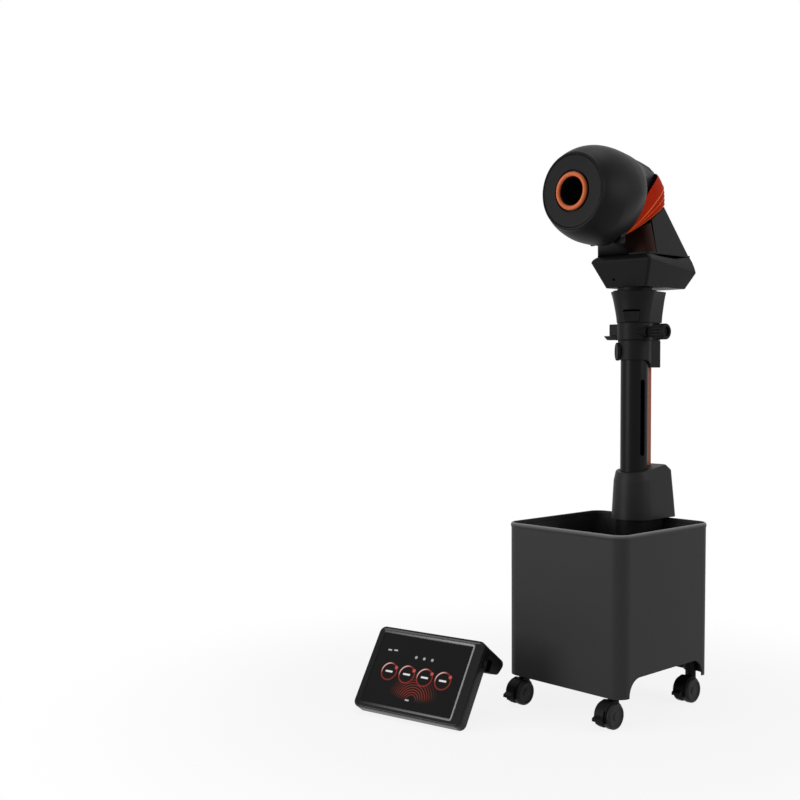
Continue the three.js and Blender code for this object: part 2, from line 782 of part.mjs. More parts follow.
function turretTray() {
  const bevel = trayBevel;
  const outer = skinned([
    trayLoop(trayLowHalf, trayLowFront, trayLowBack, trayLow, trayLow),
    trayLoop(trayHalf, trayFront, trayBack, trayEdgeFront, trayEdgeBack),
    trayLoop(trayHalf - bevel, trayFront + bevel * half, trayBack - bevel * half, trayTop, trayTop),
  ]);
  const inner = skinned([
    trayLoop(trayLowHalf - wall, trayLowFront + wall, trayLowBack - wall, trayLow - overrun,
      trayLow - overrun),
    trayLoop(trayHalf - wall * 2, trayFront + wall * 2, trayBack - wall * 2, trayEdgeFront - wall * 2,
      trayEdgeBack - wall * 2),
    trayLoop(trayHalf - bevel - wall * 2, trayFront + bevel + wall, trayBack - bevel - wall,
      trayTop - wall, trayTop - wall),
  ]);
  const throat = block([-tubeRadius - wall, tubeY - tubeRadius - gap, trayTop - wall * 2],
    [tubeRadius + wall, tubeY + tubeRadius + wall * 6, trayTop + overrun]);
  const peep = rod(wall * 0.9, [-trayHalf * half, 0, trayLow + wall * 5], [-trayHalf * half, trayLowFront,
    trayLow + wall * 5], smallSides);
  return carved(outer, inner, throat, peep);
}

function trayBase() {
  const inset = wall + gap;
  const plate = raised([
    [-trayLowHalf + inset, trayLowFront + inset], [trayLowHalf - inset, trayLowFront + inset],
    [trayLowHalf - inset, trayLowBack - inset], [-trayLowHalf + inset, trayLowBack - inset],
  ], trayLow, trayLow + trayPlate);
  return carved(plate, rod(tubeBore, [0, tubeY, trayLow - overrun], [0, tubeY, trayTop]));
}

function ballDuct() {
  const low = trayLow + trayPlate + gap;
  const outer = rod(tubeRadius, [0, tubeY, low], [0, tubeY, trayTop + wall]);
  return carved(outer, rod(tubeBore, [0, tubeY, low - overrun], [0, tubeY, trayTop + wall + overrun]));
}

function yawMotor() {
  const low = trayLow + trayPlate + gap;
  const body = rod(yawMotorRadius, [0, yawMotorY, low], [0, yawMotorY, low + yawMotorLength]);
  const gearCase = block([-yawMotorRadius, yawMotorY - yawMotorRadius * 0.6, low + yawMotorLength * half],
    [yawMotorRadius, yawMotorY + yawMotorRadius * 0.6, low + yawMotorLength + wall]);
  return joined(body, gearCase);
}

// A place in the tilt hinge's plane: distance from the hinge and angle above the rear horizon
function fromHinge(reach, angle) {
  return [hingeY + reach * Math.cos(angle * degree), hingeZ + reach * Math.sin(angle * degree)];
}

function neckLoop(width, front, back, z) {
  return level(roundedBox(width, front, back, wall * 4), z);
}

function neck() {
  const low = trayTop + gap;
  const mouth = fromHinge(neckReach, fanLowAngle);
  const high = mouth[1] + wall;
  const lean = (high - low) / (mouth[1] - low);
  const backTop = neckBack + (mouth[0] - neckBack) * lean;
  const frontTop = neckFront + wall * 2;
  const outer = skinned([
    neckLoop(neckHalfLow, neckFront, neckBack, low), neckLoop(neckHalfTop + wall * 2, frontTop, backTop, high),
  ]);
  const inner = skinned([
    neckLoop(neckHalfLow - cheekWall, neckFront - wall * 5, neckBack - cheekWall, low - overrun),
    neckLoop(neckHalfTop + wall * 2 - cheekWall, frontTop - wall * 5, backTop - cheekWall, high + overrun),
  ]);
  const mouthCut = drawnAcross([
    fromHinge(0, fanLowAngle), fromHinge(ribReach * 2, fanLowAngle), fromHinge(ribReach * 2, fanHighAngle * 2),
    [hingeY - ribReach, hingeZ + ribReach],
  ], -binWidth, binWidth);
  const cheeks = carved(outer, inner, mouthCut);
  const plate = raised(roundedBox(neckHalfLow, armFront, neckBack, wall * 2), low, low + neckPlate);
  const duct = tubeRadius + gap;
  const throat = raised(roundedBox(duct, tubeY - duct, tubeY + duct * 2, wall * 2),
    low - overrun, low + neckPlate + overrun);
  return joined(carved(joined(cheeks, plate), throat), hingeArm(low));
}

// The arm leans forward from the tray to the tilt hinge under the head
function hingeArm(low) {
  const top = hingeZ - hingeRadius / 3;
  const deep = hingeRadius * 0.92;
  const arm = skinned([
    level([[armLeft, armFront], [armRight, armFront], [armRight, armBack], [armLeft, armBack]], low),
    level([[-knuckleHalf, hingeY - deep], [knuckleHalf, hingeY - deep], [knuckleHalf, hingeY + deep],
      [-knuckleHalf, hingeY + deep]], top),
  ]);
  const eyeRoom = carved(hingeRod(ribEye + running, lugFar), hingeRod(hingeRadius, knuckleHalf));
  const knuckle = hingeRod(hingeRadius, knuckleHalf);
  return carved(joined(carved(arm, eyeRoom), knuckle), hingeRod(boreFor(hingePin), binWidth));
}

// A bar along the tilt hinge, equally long on both sides
function hingeRod(radius, reach) {
  return rod(radius, [-reach, hingeY, hingeZ], [reach, hingeY, hingeZ], smallSides);
}

function pitchPin() {
  return hingeRod(hingePin, lugFar);
}

// Fan of nested ribs: each is one hoop swept through a small angle about the tilt hinge, with an
// eye on the pin at each of its two ends
function ribOutline(inset) {
  const right = fanOutlineShares.map(([reach, width]) => new THREE.Vector2(
    (ribReach - inset) * reach, ribHalf * width - inset * Math.min(width * 2, 1)));
  const left = right.slice(0, -1).reverse().map((point) => new THREE.Vector2(point.x, -point.y));
  return [...right, ...left];
}

function ribSolid(number) {
  const inset = ribStep * number;
  const shift = (fanHighAngle - fanLowAngle - ribSpanAngle) * number / (ribCount - 1);
  const [from, to] = [fanLowAngle + fanSlackAngle + shift, fanLowAngle - fanSlackAngle + ribSpanAngle + shift];
  const angles = [from, (from + to) * half, to];
  const [outer, inner] = [ribOutline(inset), ribOutline(inset + ribWall)];
  const swept = (point, angle) => {
    const [y, z] = fromHinge(point.x, angle);
    return new THREE.Vector3(point.y, y, z);
  };
  const hoop = skinned(outer.map((point, i) => [
    ...angles.map((angle) => swept(point, angle)),
    ...angles.slice().reverse().map((angle) => swept(inner[i], angle)),
  ]));
  const eyeFar = outer[0].y;
  const eyes = [-1, 1].map((side) => rod(ribEye, [side * eyeFar, hingeY, hingeZ],
    [side * (eyeFar - ribWall), hingeY, hingeZ], smallSides));
  return carved(joined(hoop, ...eyes), hingeRod(boreFor(hingePin), lugFar));
}

// Throwing head
function headLoop([place, wide, above, below], inset) {
  const y = headFront + (headBack - headFront) * place;
  const blend = Math.min(Math.max((place - headKeelFromShare) / (headKeelFullShare - headKeelFromShare), 0), 1);
  const keel = 2 + (headKeelPower - 2) * blend;
  return Array.from({ length: roundSides }, (_, i) => {
    const angle = turn * i / roundSides;
    const power = i * 2 > roundSides ? 2 / keel : 1;
    const [cos, sin] = [Math.cos(angle), Math.sin(angle)].map((value) => Math.sign(value) * Math.abs(value) ** power);
    const reach = headRadius * (sin > 0 ? above : below) - inset;
    return new THREE.Vector3((headRadius * wide - inset) * cos, y, headZ + reach * sin);
  });
}

// The hollow follows the outside, more coarsely where the outside bulges
const headInnerStations = headStationShares.filter((station, i) => i % 2 === 1 || i === 6 || i === 8);

// Everything behind and below the plane of the head's mouth
function mouthPlane() {
  const far = headRadius * 4;
  const below = fromHinge(-far, fanHighAngle);
  const above = fromHinge(far, fanHighAngle);
  return drawnAcross([below, [above[0] + far, below[1]], [above[0] + far, above[1]], above],
    -binWidth, binWidth);
}

function podShell() {
  const outer = skinned(headStationShares.map((station) => headLoop(station, 0)));
  const inner = skinned(headInnerStations.map((station) => headLoop(station, headWall)));
  const bore = rod(nozzleOuter + gap, [0, headFront - overrun, headZ], [0, headFront + barrelLength, headZ]);
  const recess = rod(frontPlateRadius + gap, [0, headFront - overrun, headZ],
    [0, headFront + frontPlateThick, headZ]);
  const hingeRoom = hingeRod(hingeRadius + running * 2, lugNear);
  const shell = carved(outer, inner, mouthPlane(), bore, recess, hatchBlock(gap), hingeRoom);
  return carved(joined(shell, headLug(-1), headLug(1)), hingeRod(boreFor(hingePin), binWidth));
}

// One of the two lugs that carry the head on the tilt pin
function headLug(side) {
  const [low, high] = [Math.min(side * lugNear, side * lugFar), Math.max(side * lugNear, side * lugFar)];
  const web = drawnAcross([
    [hingeY - hingeRadius, hingeZ], [hingeY + hingeRadius * 0.6, hingeZ + hingeRadius * 0.8],
    [hingeY + lugRise * 0.6, hingeZ + lugRise], [hingeY - lugRise * half, hingeZ + lugRise],
  ], low, high);
  return joined(web, rod(hingeRadius, [low, hingeY, hingeZ], [high, hingeY, hingeZ], smallSides));
}

function frontPlate() {
  const start = headFront + frontPlateThick - gap;
  const plate = rod(frontPlateRadius, [0, start, headZ], [0, start - frontPlateThick + gap, headZ]);
  return carved(plate, rod(nozzleOuter + gap, [0, headFront - overrun, headZ], [0, start + overrun, headZ]));
}

// A body of revolution about the throwing axis, from [radius, distance behind the front] points
function throwTurned(profile) {
  const points = profile.map(([radius, back]) => new THREE.Vector2(radius, headFront + back));
  points.push(points[0].clone());
  const geometry = new THREE.LatheGeometry(points, roundSides);
  return solid(facingOut(placed(geometry, 0, 0, headZ)));
}

function nozzleRing() {
  const round = nozzleStand * half;
  return throwTurned([
    [nozzleInner, -nozzleStand + round], [nozzleInner + round, -nozzleStand],
    [nozzleOuter - round, -nozzleStand], [nozzleOuter, -nozzleStand + round],
    [nozzleOuter, nozzleDepth], [nozzleInner, nozzleDepth],
  ]);
}

function barrel() {
  const start = nozzleDepth + gap;
  return throwTurned([
    [nozzleInner, start], [nozzleOuter, start], [nozzleOuter, start + barrelWall],
    [nozzleInner + barrelWall, start + barrelWall * 2], [nozzleInner + barrelWall, barrelLength - barrelWall],
    [barrelFlange, barrelLength - barrelWall], [barrelFlange, barrelLength], [nozzleInner, barrelLength],
  ]);
}

function throwWheelZ(side) {
  return headZ + side * (ballSize * half + throwWheel - throwSqueeze);
}

function throwingWheel(side) {
  const z = throwWheelZ(side);
  const width = throwWidth * half;
  const body = rod(throwWheel, [-width, throwY, z], [width, throwY, z]);
  const dish = rod(throwWheel * 0.7, [width - wall, throwY, z], [width + overrun, throwY, z]);
  const hub = rod(throwShaft * 2, [-width, throwY, z], [width, throwY, z], smallSides);
  const shaft = rod(throwShaft, [-width - frameThick, throwY, z], [0, throwY, z], smallSides);
  return joined(carved(body, dish), hub, shaft);
}

const frameX = -throwWidth * half - running;

function throwMotorBody(side) {
  const z = throwWheelZ(side);
  const start = frameX - frameThick - gap;
  return rod(throwMotor, [start, throwY, z], [start - throwMotorLength, throwY, z]);
}

function wheelFrame() {
  const front = headFront + barrelLength + gap;
  const back = throwY + throwMotor + wall * 4;
  const reach = throwWheelZ(1) - headZ + throwMotor;
  const near = nozzleInner + overrun;
  const outer = frameX - frameThick - wall * 6;
  const cheeks = [-1, 1].map((side) => {
    const [low, high] = [Math.min(side * near, side * reach), Math.max(side * near, side * reach)];
    const cheek = block([frameX - frameThick, front, headZ + low], [frameX, back, headZ + high]);
    const inner = [Math.min(side * near, side * (near + wall)), Math.max(side * near, side * (near + wall))];
    const shelf = block([outer, front, headZ + inner[0]], [frameX, back, headZ + inner[1]]);
    const hole = rod(boreFor(throwShaft), [0, throwY, throwWheelZ(side)],
      [-headRadius, throwY, throwWheelZ(side)], smallSides);
    return carved(joined(cheek, shelf), hole);
  });
  const bridge = block([outer, front, headZ - near - wall], [outer + frameThick, back, headZ + near + wall]);
  return joined(bridge, ...cheeks);
}

function hatchBlock(clearance) {
  const outer = skinned(headStationShares.map((station) => headLoop(station, -clearance * overrun)));
  const inner = skinned(headStationShares.map((station) => headLoop(station, hatchThick + clearance)));
  const column = raised([
    [-hatchHalf - clearance, hatchFront - clearance], [hatchHalf + clearance, hatchFront - clearance],
    [hatchHalf * 0.8 + clearance, hatchBack + clearance], [-hatchHalf * 0.8 - clearance, hatchBack + clearance],
  ], headZ, headZ + headRadius * 2);
  return column.intersect(outer).subtract(inner);
}

function topHatch() {
  return hatchBlock(0);
}

// Console, drawn flat: width along X, height along Y, its back on Z = 0
function consoleOutline(inset) {
  return roundedBox(consoleWidth * half - inset, inset, consoleHeight - inset, consoleCorner - inset * half);
}

function screenOutline(inset) {
  const [left, right] = [inset + consoleRim - consoleWidth * half, consoleWidth * half - consoleSide - inset];
  const [low, high] = [consoleRim + inset, consoleHeight - consoleRim - inset];
  return [[left, low], [right, low], [right, high], [left, high]];
}

// The leg's hinge axis in the flat console's Y and Z
const propAxis = [propHinge, -propEye - gap];

function alongProp(radius, from, to) {
  return rod(radius, [from, ...propAxis], [to, ...propAxis], smallSides);
}

function consoleCase() {
  const body = skinned([
    level(consoleOutline(wall), 0), level(consoleOutline(0), wall), level(consoleOutline(0), consoleThick),
  ]);
  const socket = rod(boreFor(buttonRadius), [consoleWidth * half - wall * 2, consoleHeight * 0.78,
    consoleThick * half], [consoleWidth, consoleHeight * 0.78, consoleThick * half], smallSides);
  const near = propHalf + gap;
  const far = near + propLug;
  const lugs = [-1, 1].map((side) => block(
    [Math.min(side * near, side * far), propHinge - propEye, -propEye * 2],
    [Math.max(side * near, side * far), propHinge + propEye, wall]));
  return carved(joined(body, ...lugs), socket, alongProp(boreFor(propPin), -consoleWidth, consoleWidth));
}

function consoleBezelSolid() {
  const low = consoleThick + gap;
  const rim = skinned([
    level(consoleOutline(0), low), level(consoleOutline(0), low + consoleBezel * half),
    level(consoleOutline(wall * half), low + consoleBezel),
  ]);
  return carved(rim, raised(screenOutline(0), low - overrun, low + consoleBezel + overrun));
}

function consoleScreen() {
  return raised(screenOutline(gap), consoleThick + gap, consoleThick + gap + consoleGlass);
}

// A clip along the top of the case, open below so that it hangs on a rim
function consoleHook() {
  const top = consoleHeight - wall;
  const slotBack = -hookPlate - hookSlot;
  return drawnAcross([
    [top, -gap], [top, -hookReach + hookArm * half], [top - hookArm * half, -hookReach],
    [top - hookDrop * 0.7, -hookReach + hookArm * half], [top - hookDrop, slotBack - hookPlate],
    [top - hookDrop, slotBack], [top - hookArm, slotBack], [top - hookArm, -hookPlate],
    [top - hookDrop, -hookPlate], [top - hookDrop, -gap],
  ].reverse(), -hookWidth * half, hookWidth * half);
}

// A place behind the lower edge and above the floor, in the flat console's Y and Z
function fromFloor(back, up) {
  const [cos, sin] = [Math.cos(consoleTiltAngle * degree), Math.sin(consoleTiltAngle * degree)];
  return [back * cos + up * sin, up * cos - back * sin];
}

// The fold-out leg stands on the floor and swings flat against the back of the case
function consoleProp() {
  const floor = wall * Math.cos(consoleTiltAngle * degree);
  const [y, z] = propAxis;
  const leg = drawnAcross([
    [y, z + propThick * half], fromFloor(propBack - propThick * half, floor),
    fromFloor(propBack + propThick * half, floor), [y, z - propThick * half],
  ], -propHalf, propHalf);
  return joined(leg, alongProp(propEye, -propHalf, propHalf),
    alongProp(propPin, -propHalf - gap - propLug, propHalf + gap + propLug));
}

function consoleButton() {
  const [y, z] = [consoleHeight * 0.78, consoleThick * half];
  const end = consoleWidth * half + buttonReach;
  return rod(buttonRadius, [end - buttonReach - buttonTravel * 2, y, z], [end, y, z], smallSides);
}

// Materials
function finish(color, roughness, metalness = 0) {
  return new THREE.MeshStandardMaterial({ color, roughness, metalness });
}

const matteBlack = () => finish(0x2b2b2b, 0.6);
const deepBlack = () => finish(0x151515, 0.5);
const orange = () => finish(0xee6a2c, 0.4);
const ribOrange = () => finish(0xbf3d12, 0.5);
const wheelBlack = () => finish(0x1c1c1c, 0.75);
const steel = () => finish(0xa8abad, 0.3, 1);
const motorCase = () => finish(0x6f7377, 0.4, 0.9);
const rubberGrey = () => finish(0x3a3a3a, 0.85);
const glossBlack = () => finish(0x0c0c0c, 0.12);

function part(name, body, material) {
  const flat = surface(body).toNonIndexed();
  flat.computeVertexNormals();
  const mesh = new THREE.Mesh(flat, material);
  mesh.name = name;
  return mesh;
}

function binGroup() {
  const group = new THREE.Group();
  group.add(part('bin_shell', binShell(), matteBlack()));
  group.add(part('ball_floor', ballFloor(), deepBlack()));
  group.add(part('base_plate', basePlate(), deepBlack()));
  for (const place of casterPlaces) {
    group.add(part(`caster_fork_${place.name}`, casterFork(place), deepBlack()));
    group.add(part(`caster_wheels_${place.name}`, casterWheels(place), wheelBlack()));
    group.add(part(`caster_brake_${place.name}`, casterBrake(place), deepBlack()));
  }
  return group;
}

function liftGroup() {
  const group = new THREE.Group();
  group.add(part('lift_housing', liftHousing(), matteBlack()));
  group.add(part('lift_tower', liftTower(), deepBlack()));
  group.add(part('pickup_wheel', pickupWheel(), rubberGrey()));
  group.add(part('lift_motor', liftMotor(), motorCase()));
  group.add(part('ball_tube', ballTube(), deepBlack()));
  group.add(part('guide_rail', guideRail(), ribOrange()));
  return group;
}

function carriageGroup() {
  const group = new THREE.Group();
  group.add(part('lower_collar', lowerCollar(), matteBlack()));
  group.add(part('collar_knob', collarKnob(), wheelBlack()));
  group.add(part('upper_collar', upperCollar(), matteBlack()));
  group.add(part('clamp_grip', clampGrip(), wheelBlack()));
  group.add(part('clamp_lever', clampLever(), deepBlack()));
  group.add(part('head_socket', headSocket(), matteBlack()));
  group.add(part('latch_button', latchButton(), matteBlack()));
  group.add(part('swivel_ring', swivelRing(), deepBlack()));
  return group;
}

function turretGroup() {
  const group = new THREE.Group();
  group.add(part('turret_tray', turretTray(), matteBlack()));
  group.add(part('tray_base', trayBase(), deepBlack()));
  group.add(part('ball_duct', ballDuct(), deepBlack()));
  group.add(part('yaw_motor', yawMotor(), motorCase()));
  group.add(part('neck', neck(), matteBlack()));
  group.add(part('pitch_pin', pitchPin(), steel()));
  for (let number = 0; number < ribCount; number += 1) {
    group.add(part(`fan_rib_${number + 1}`, ribSolid(number), ribOrange()));
  }
  return group;
}

function headGroup() {
  const group = new THREE.Group();
  group.add(part('pod_shell', podShell(), matteBlack()));
  group.add(part('front_plate', frontPlate(), matteBlack()));
  group.add(part('nozzle_ring', nozzleRing(), orange()));
  group.add(part('barrel', barrel(), deepBlack()));
  group.add(part('wheel_frame', wheelFrame(), motorCase()));
  group.add(part('upper_wheel', throwingWheel(1), rubberGrey()));
  group.add(part('lower_wheel', throwingWheel(-1), rubberGrey()));
  group.add(part('upper_motor', throwMotorBody(1), steel()));
  group.add(part('lower_motor', throwMotorBody(-1), steel()));
  group.add(part('top_hatch', topHatch(), matteBlack()));
  return group;
}

function consoleGroup() {
  const group = new THREE.Group();
  group.add(part('console_case', consoleCase(), glossBlack()));
  group.add(part('console_bezel', consoleBezelSolid(), glossBlack()));
  group.add(part('console_screen', consoleScreen(), glossBlack()));
  group.add(part('console_hook', consoleHook(), matteBlack()));
  group.add(part('console_prop', consoleProp(), matteBlack()));
  group.add(part('console_button', consoleButton(), rubberGrey()));
  group.rotation.set(consoleTiltAngle * degree, 0, 0);
  const stand = new THREE.Group();
  stand.add(group);
  stand.rotation.set(0, 0, consoleTurnAngle * degree);
  stand.position.set(consoleX, consoleY, 0);
  stand.updateMatrixWorld(true);
  const box = new THREE.Box3().setFromObject(stand, true);
  stand.position.z -= box.min.z;
  return stand;
}

// The whole, with its origin at the bottom centre of its bounding box
const robot = new THREE.Group();
robot.add(binGroup(), liftGroup(), carriageGroup(), turretGroup(), headGroup(), consoleGroup());
robot.updateMatrixWorld(true);
const extent = new THREE.Box3().setFromObject(robot, true);
const middle = extent.getCenter(new THREE.Vector3());
robot.position.set(-middle.x, -middle.y, -extent.min.z);
robot.updateMatrixWorld(true);

export default robot;
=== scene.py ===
# %% [markdown]
# # Table tennis robot
# A ball bin on casters, a lift tube, a turret and a throwing head stand over one
# another, and a touch console stands beside them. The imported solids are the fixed
# frame: every surface below is worked out in the same millimetres as those solids
# and laid over them, so nothing has to be fitted by eye.

# %% Frame
import math

import bmesh
import bpy
import numpy as np
from mathutils import Matrix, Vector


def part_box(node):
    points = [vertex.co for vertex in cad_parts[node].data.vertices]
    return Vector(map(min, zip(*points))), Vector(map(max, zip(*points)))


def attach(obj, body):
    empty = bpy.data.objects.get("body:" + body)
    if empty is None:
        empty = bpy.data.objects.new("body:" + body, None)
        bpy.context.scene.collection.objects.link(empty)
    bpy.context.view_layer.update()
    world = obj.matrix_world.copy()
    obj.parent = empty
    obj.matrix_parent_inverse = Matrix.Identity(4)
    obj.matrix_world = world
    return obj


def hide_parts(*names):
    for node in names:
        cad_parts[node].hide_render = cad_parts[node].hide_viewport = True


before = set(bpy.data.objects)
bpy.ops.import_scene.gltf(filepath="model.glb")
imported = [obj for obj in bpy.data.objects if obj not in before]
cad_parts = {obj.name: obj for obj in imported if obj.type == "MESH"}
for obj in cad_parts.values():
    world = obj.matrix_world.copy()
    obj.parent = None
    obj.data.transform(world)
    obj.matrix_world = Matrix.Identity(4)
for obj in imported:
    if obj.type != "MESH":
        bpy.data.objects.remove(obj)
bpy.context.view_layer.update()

# %% [markdown]
# The robot was drawn about the middle of its bin. The lift tube stands 79 mm behind
# that middle, so the tube's own box says where the drawing's origin lies in the frame.
# Shapes are then written in millimetres from there, and moved in one step.

# %% Millimetres to the frame
TUBE_Y = 79.0
tube_low, tube_high = (np.array(corner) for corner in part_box("ball_tube"))
origin = (tube_low + tube_high) / 2 - np.array([0, TUBE_Y / 1000, 0])
origin[2] = 0


def in_frame(points):
    """Millimetres from the middle of the bin become metres in the frame."""
    return np.asarray(points, float) / 1000 + origin


print("origin", np.round(origin, 4))

# %% [markdown]
# Most mouldings here are a skin over loops: each loop is a closed outline, and quads
# join it to the next one. A wall with a hollow is the same thing closed both ways, like
# a ring: up the outside, over the rim and down the inside. Blender could extrude and
# bevel by hand, but a grid keeps every edge where a formula puts it.

# %% Skins
def grid_faces(rows, columns, row_wrap, column_wrap):
    """Each quad takes a grid point, the next one along, and the two above them."""
    i = np.arange(rows if row_wrap else rows - 1)[:, None]
    j = np.arange(columns if column_wrap else columns - 1)[None, :]
    i2, j2 = (i + 1) % rows, (j + 1) % columns
    corners = [i * columns + j, i * columns + j2, i2 * columns + j2, i2 * columns + j]
    return np.stack(np.broadcast_arrays(*corners), -1).reshape(-1, 4).tolist()


def skin(loops):
    """A skin over closed loops, with one many-sided face closing each end."""
    loops = np.asarray(loops, float)
    rows, columns = loops.shape[:2]
    faces = grid_faces(rows, columns, False, True)
    faces.append(list(range(columns))[::-1])
    faces.append(list(range((rows - 1) * columns, rows * columns)))
    return loops.reshape(-1, 3), faces


def drawn_out(outline, places):
    """An outline of Y and Z, drawn out along X between places: a plain extrusion."""
    return skin([np.column_stack([np.full(len(outline), x), outline]) for x in places])


def ring(loops):
    """A skin over closed loops whose last loop meets the first, as in a hollow wall."""
    loops = np.asarray(loops, float)
    rows, columns = loops.shape[:2]
    return loops.reshape(-1, 3), grid_faces(rows, columns, True, True)


def together(*shapes):
    """Several closed skins kept as one mesh: each one's numbers follow the last one's."""
    points, faces, start = [], [], 0
    for some_points, some_faces in shapes:
        points.append(some_points)
        faces += [[n + start for n in face] for face in some_faces]
        start += len(some_points)
    return np.concatenate(points), faces


print("a skin over three loops of four points has", len(grid_faces(3, 4, False, True)), "quads")

# %% [markdown]
# Outlines come next: an arc, a box with rounded corners, and the shape round the tube that
# is round in front and square behind. Each gives X and Y only; a loop then gets its
# height. Outlines that must face each other are respaced to the same number of points.

# %% Outlines
def bow(x, y, radius, start, end, steps):
    """Points on an arc: centre plus radius times cosine and sine of even angles."""
    angle = np.radians(np.linspace(start, end, steps + 1))
    return np.stack([x + radius * np.cos(angle), y + radius * np.sin(angle)], -1)


def rounded_box(half_x, low_y, high_y, radius, steps=7, between=0):
    """Four quarter arcs, one at each corner, joined by straight sides. Even points between
    the corners of the long sides let boxes of other sizes match corner to corner."""
    x, low, high = half_x - radius, low_y + radius, high_y - radius
    up = np.linspace(low, high, between + 2)[1:-1]
    return np.concatenate([
        bow(x, low, radius, -90, 0, steps), np.column_stack([np.full(between, half_x), up]),
        bow(x, high, radius, 0, 90, steps), bow(-x, high, radius, 90, 180, steps),
        np.column_stack([np.full(between, -half_x), up[::-1]]),
        bow(-x, low, radius, 180, 270, steps)])


def hood_outline(radius, back, corner, side=None):
    """A half circle in front of the tube axis, and two rounded corners behind it."""
    side = radius if side is None else side
    return np.concatenate([
        bow(0, TUBE_Y, radius, 180, 360, 48),
        bow(side - corner, TUBE_Y + back - corner, corner, 0, 90, 8),
        bow(corner - side, TUBE_Y + back - corner, corner, 90, 180, 8)])


def respaced(outline, count):
    """Points at even lengths along a closed outline, starting nearest its front middle."""
    start = np.argmin(np.hypot(outline[:, 0], outline[:, 1] - outline[:, 1].min()))
    outline = np.roll(outline, -start, axis=0)
    closed = np.concatenate([outline, outline[:1]])
    length = np.concatenate([[0], np.cumsum(np.hypot(*np.diff(closed, axis=0).T))])
    at = np.linspace(0, length[-1], count, endpoint=False)
    return np.stack([np.interp(at, length, closed[:, k]) for k in (0, 1)], -1)


def at_height(outline, height):
    """The outline's X and Y, with one height or a height for each point."""
    return np.column_stack([outline, np.broadcast_to(height, len(outline))])


print("hood outline has", len(hood_outline(33, 57, 14)), "points")

# %% [markdown]
# Turned parts come from a lathe: a closed profile of radius and distance is carried round
# an axis. Blender's Screw modifier does the same; here the axis may point anywhere. Smooth
# silhouettes are a cubic through a few measured places, as a spline would be.

# %% Lathe and curve
def lathe(profile, centre, axis, count=64):
    """A closed profile of radius and distance, carried round an axis: radius goes along
    the two directions square to the axis by cosine and sine, distance along the axis."""
    axis = np.asarray(axis, float) / np.linalg.norm(axis)
    side = np.cross(axis, [0, 0, 1] if abs(axis[2]) < 0.9 else [1, 0, 0])
    side /= np.linalg.norm(side)
    up = np.cross(axis, side)
    turn = np.linspace(0, 2 * math.pi, count, endpoint=False)[:, None, None]
    radius, along = np.asarray(profile, float).T[:, None, :, None]
    return ring(np.asarray(centre) + along * axis
                + radius * (np.cos(turn) * side + np.sin(turn) * up))


def rod(radius, low, high, centre, axis, count=32, core=0.1):
    """A plain cylinder between two distances along an axis, with a hair-thin bore."""
    return lathe([(core, low), (radius, low), (radius, high), (core, high)], centre, axis, count)


def smooth_through(knots, values, at):
    """A cubic through every knot, whose slope there follows its two neighbours."""
    knots, values, at = (np.asarray(a, float) for a in (knots, values, at))
    slope = np.gradient(values, knots)
    i = np.clip(np.searchsorted(knots, at, side="right") - 1, 0, len(knots) - 2)
    step = knots[i + 1] - knots[i]
    t = (at - knots[i]) / step
    return ((2 * t**3 - 3 * t**2 + 1) * values[i] + (t**3 - 2 * t**2 + t) * step * slope[i]
            + (3 * t**2 - 2 * t**3) * values[i + 1] + (t**3 - t**2) * step * slope[i + 1])


print("a rod has", len(rod(1, 0, 1, (0, 0, 0), (0, 0, 1))[0]), "points")

# %% [markdown]
# Finishes are node trees that read Object coordinates, so a grain stays where it is on
# its moulding at any pose. Moulded black plastic is never one flat colour: a fine spark
# texture breaks up its shine, and a slow cloud varies how rough it is.

# %% Finish helper
def add_node(tree, kind, values=(), **settings):
    """A new shader node with its settings, then its input values by name or number."""
    node = tree.nodes.new("ShaderNode" + kind)
    for key, value in settings.items():
        setattr(node, key, value)
    for key, value in dict(values).items():
        node.inputs[key].default_value = value
    return node


def finish(name, colour, rough, rough_spread=0.06, grain=0.0, grain_size=0.8, cloud=0.12,
           metal=0.0, coat=0.0, stretch=(1, 1, 1), mirror=0.14):
    """A Principled surface. A cloud noise shifts colour and roughness, a fine noise makes
    the bump; its grain size is in millimetres."""
    material = bpy.data.materials.new(name)
    material.use_nodes = True
    tree = material.node_tree
    link = tree.links.new
    surface = tree.nodes["Principled BSDF"]
    for key, value in (("Metallic", metal), ("Coat Weight", coat), ("Coat Roughness", 0.06),
                       ("Specular IOR Level", mirror)):
        surface.inputs[key].default_value = value
    place = add_node(tree, "TexCoord")
    spread = add_node(tree, "Mapping", {"Scale": stretch})
    link(place.outputs["Object"], spread.inputs["Vector"])
    slow = add_node(tree, "TexNoise", {"Scale": 16, "Detail": 5})
    link(spread.outputs["Vector"], slow.inputs["Vector"])
    tint = add_node(tree, "Mix", {"A": (*[c * (1 - cloud) for c in colour], 1),
                                  "B": (*[min(c * (1 + cloud), 1) for c in colour], 1)},
                    data_type="RGBA")
    link(slow.outputs["Fac"], tint.inputs["Factor"])
    link(tint.outputs["Result"], surface.inputs["Base Color"])
    shine = add_node(tree, "MapRange", {"To Min": rough - rough_spread,
                                        "To Max": rough + rough_spread})
    link(slow.outputs["Fac"], shine.inputs["Value"])
    link(shine.outputs["Result"], surface.inputs["Roughness"])
    fine = add_node(tree, "TexNoise", {"Scale": 1000 / grain_size, "Detail": 2})
    link(spread.outputs["Vector"], fine.inputs["Vector"])
    bump = add_node(tree, "Bump", {"Strength": grain, "Distance": 0.0002})
    link(fine.outputs["Fac"], bump.inputs["Height"])
    link(bump.outputs["Normal"], surface.inputs["Normal"])
    print("finish", name)
    return material


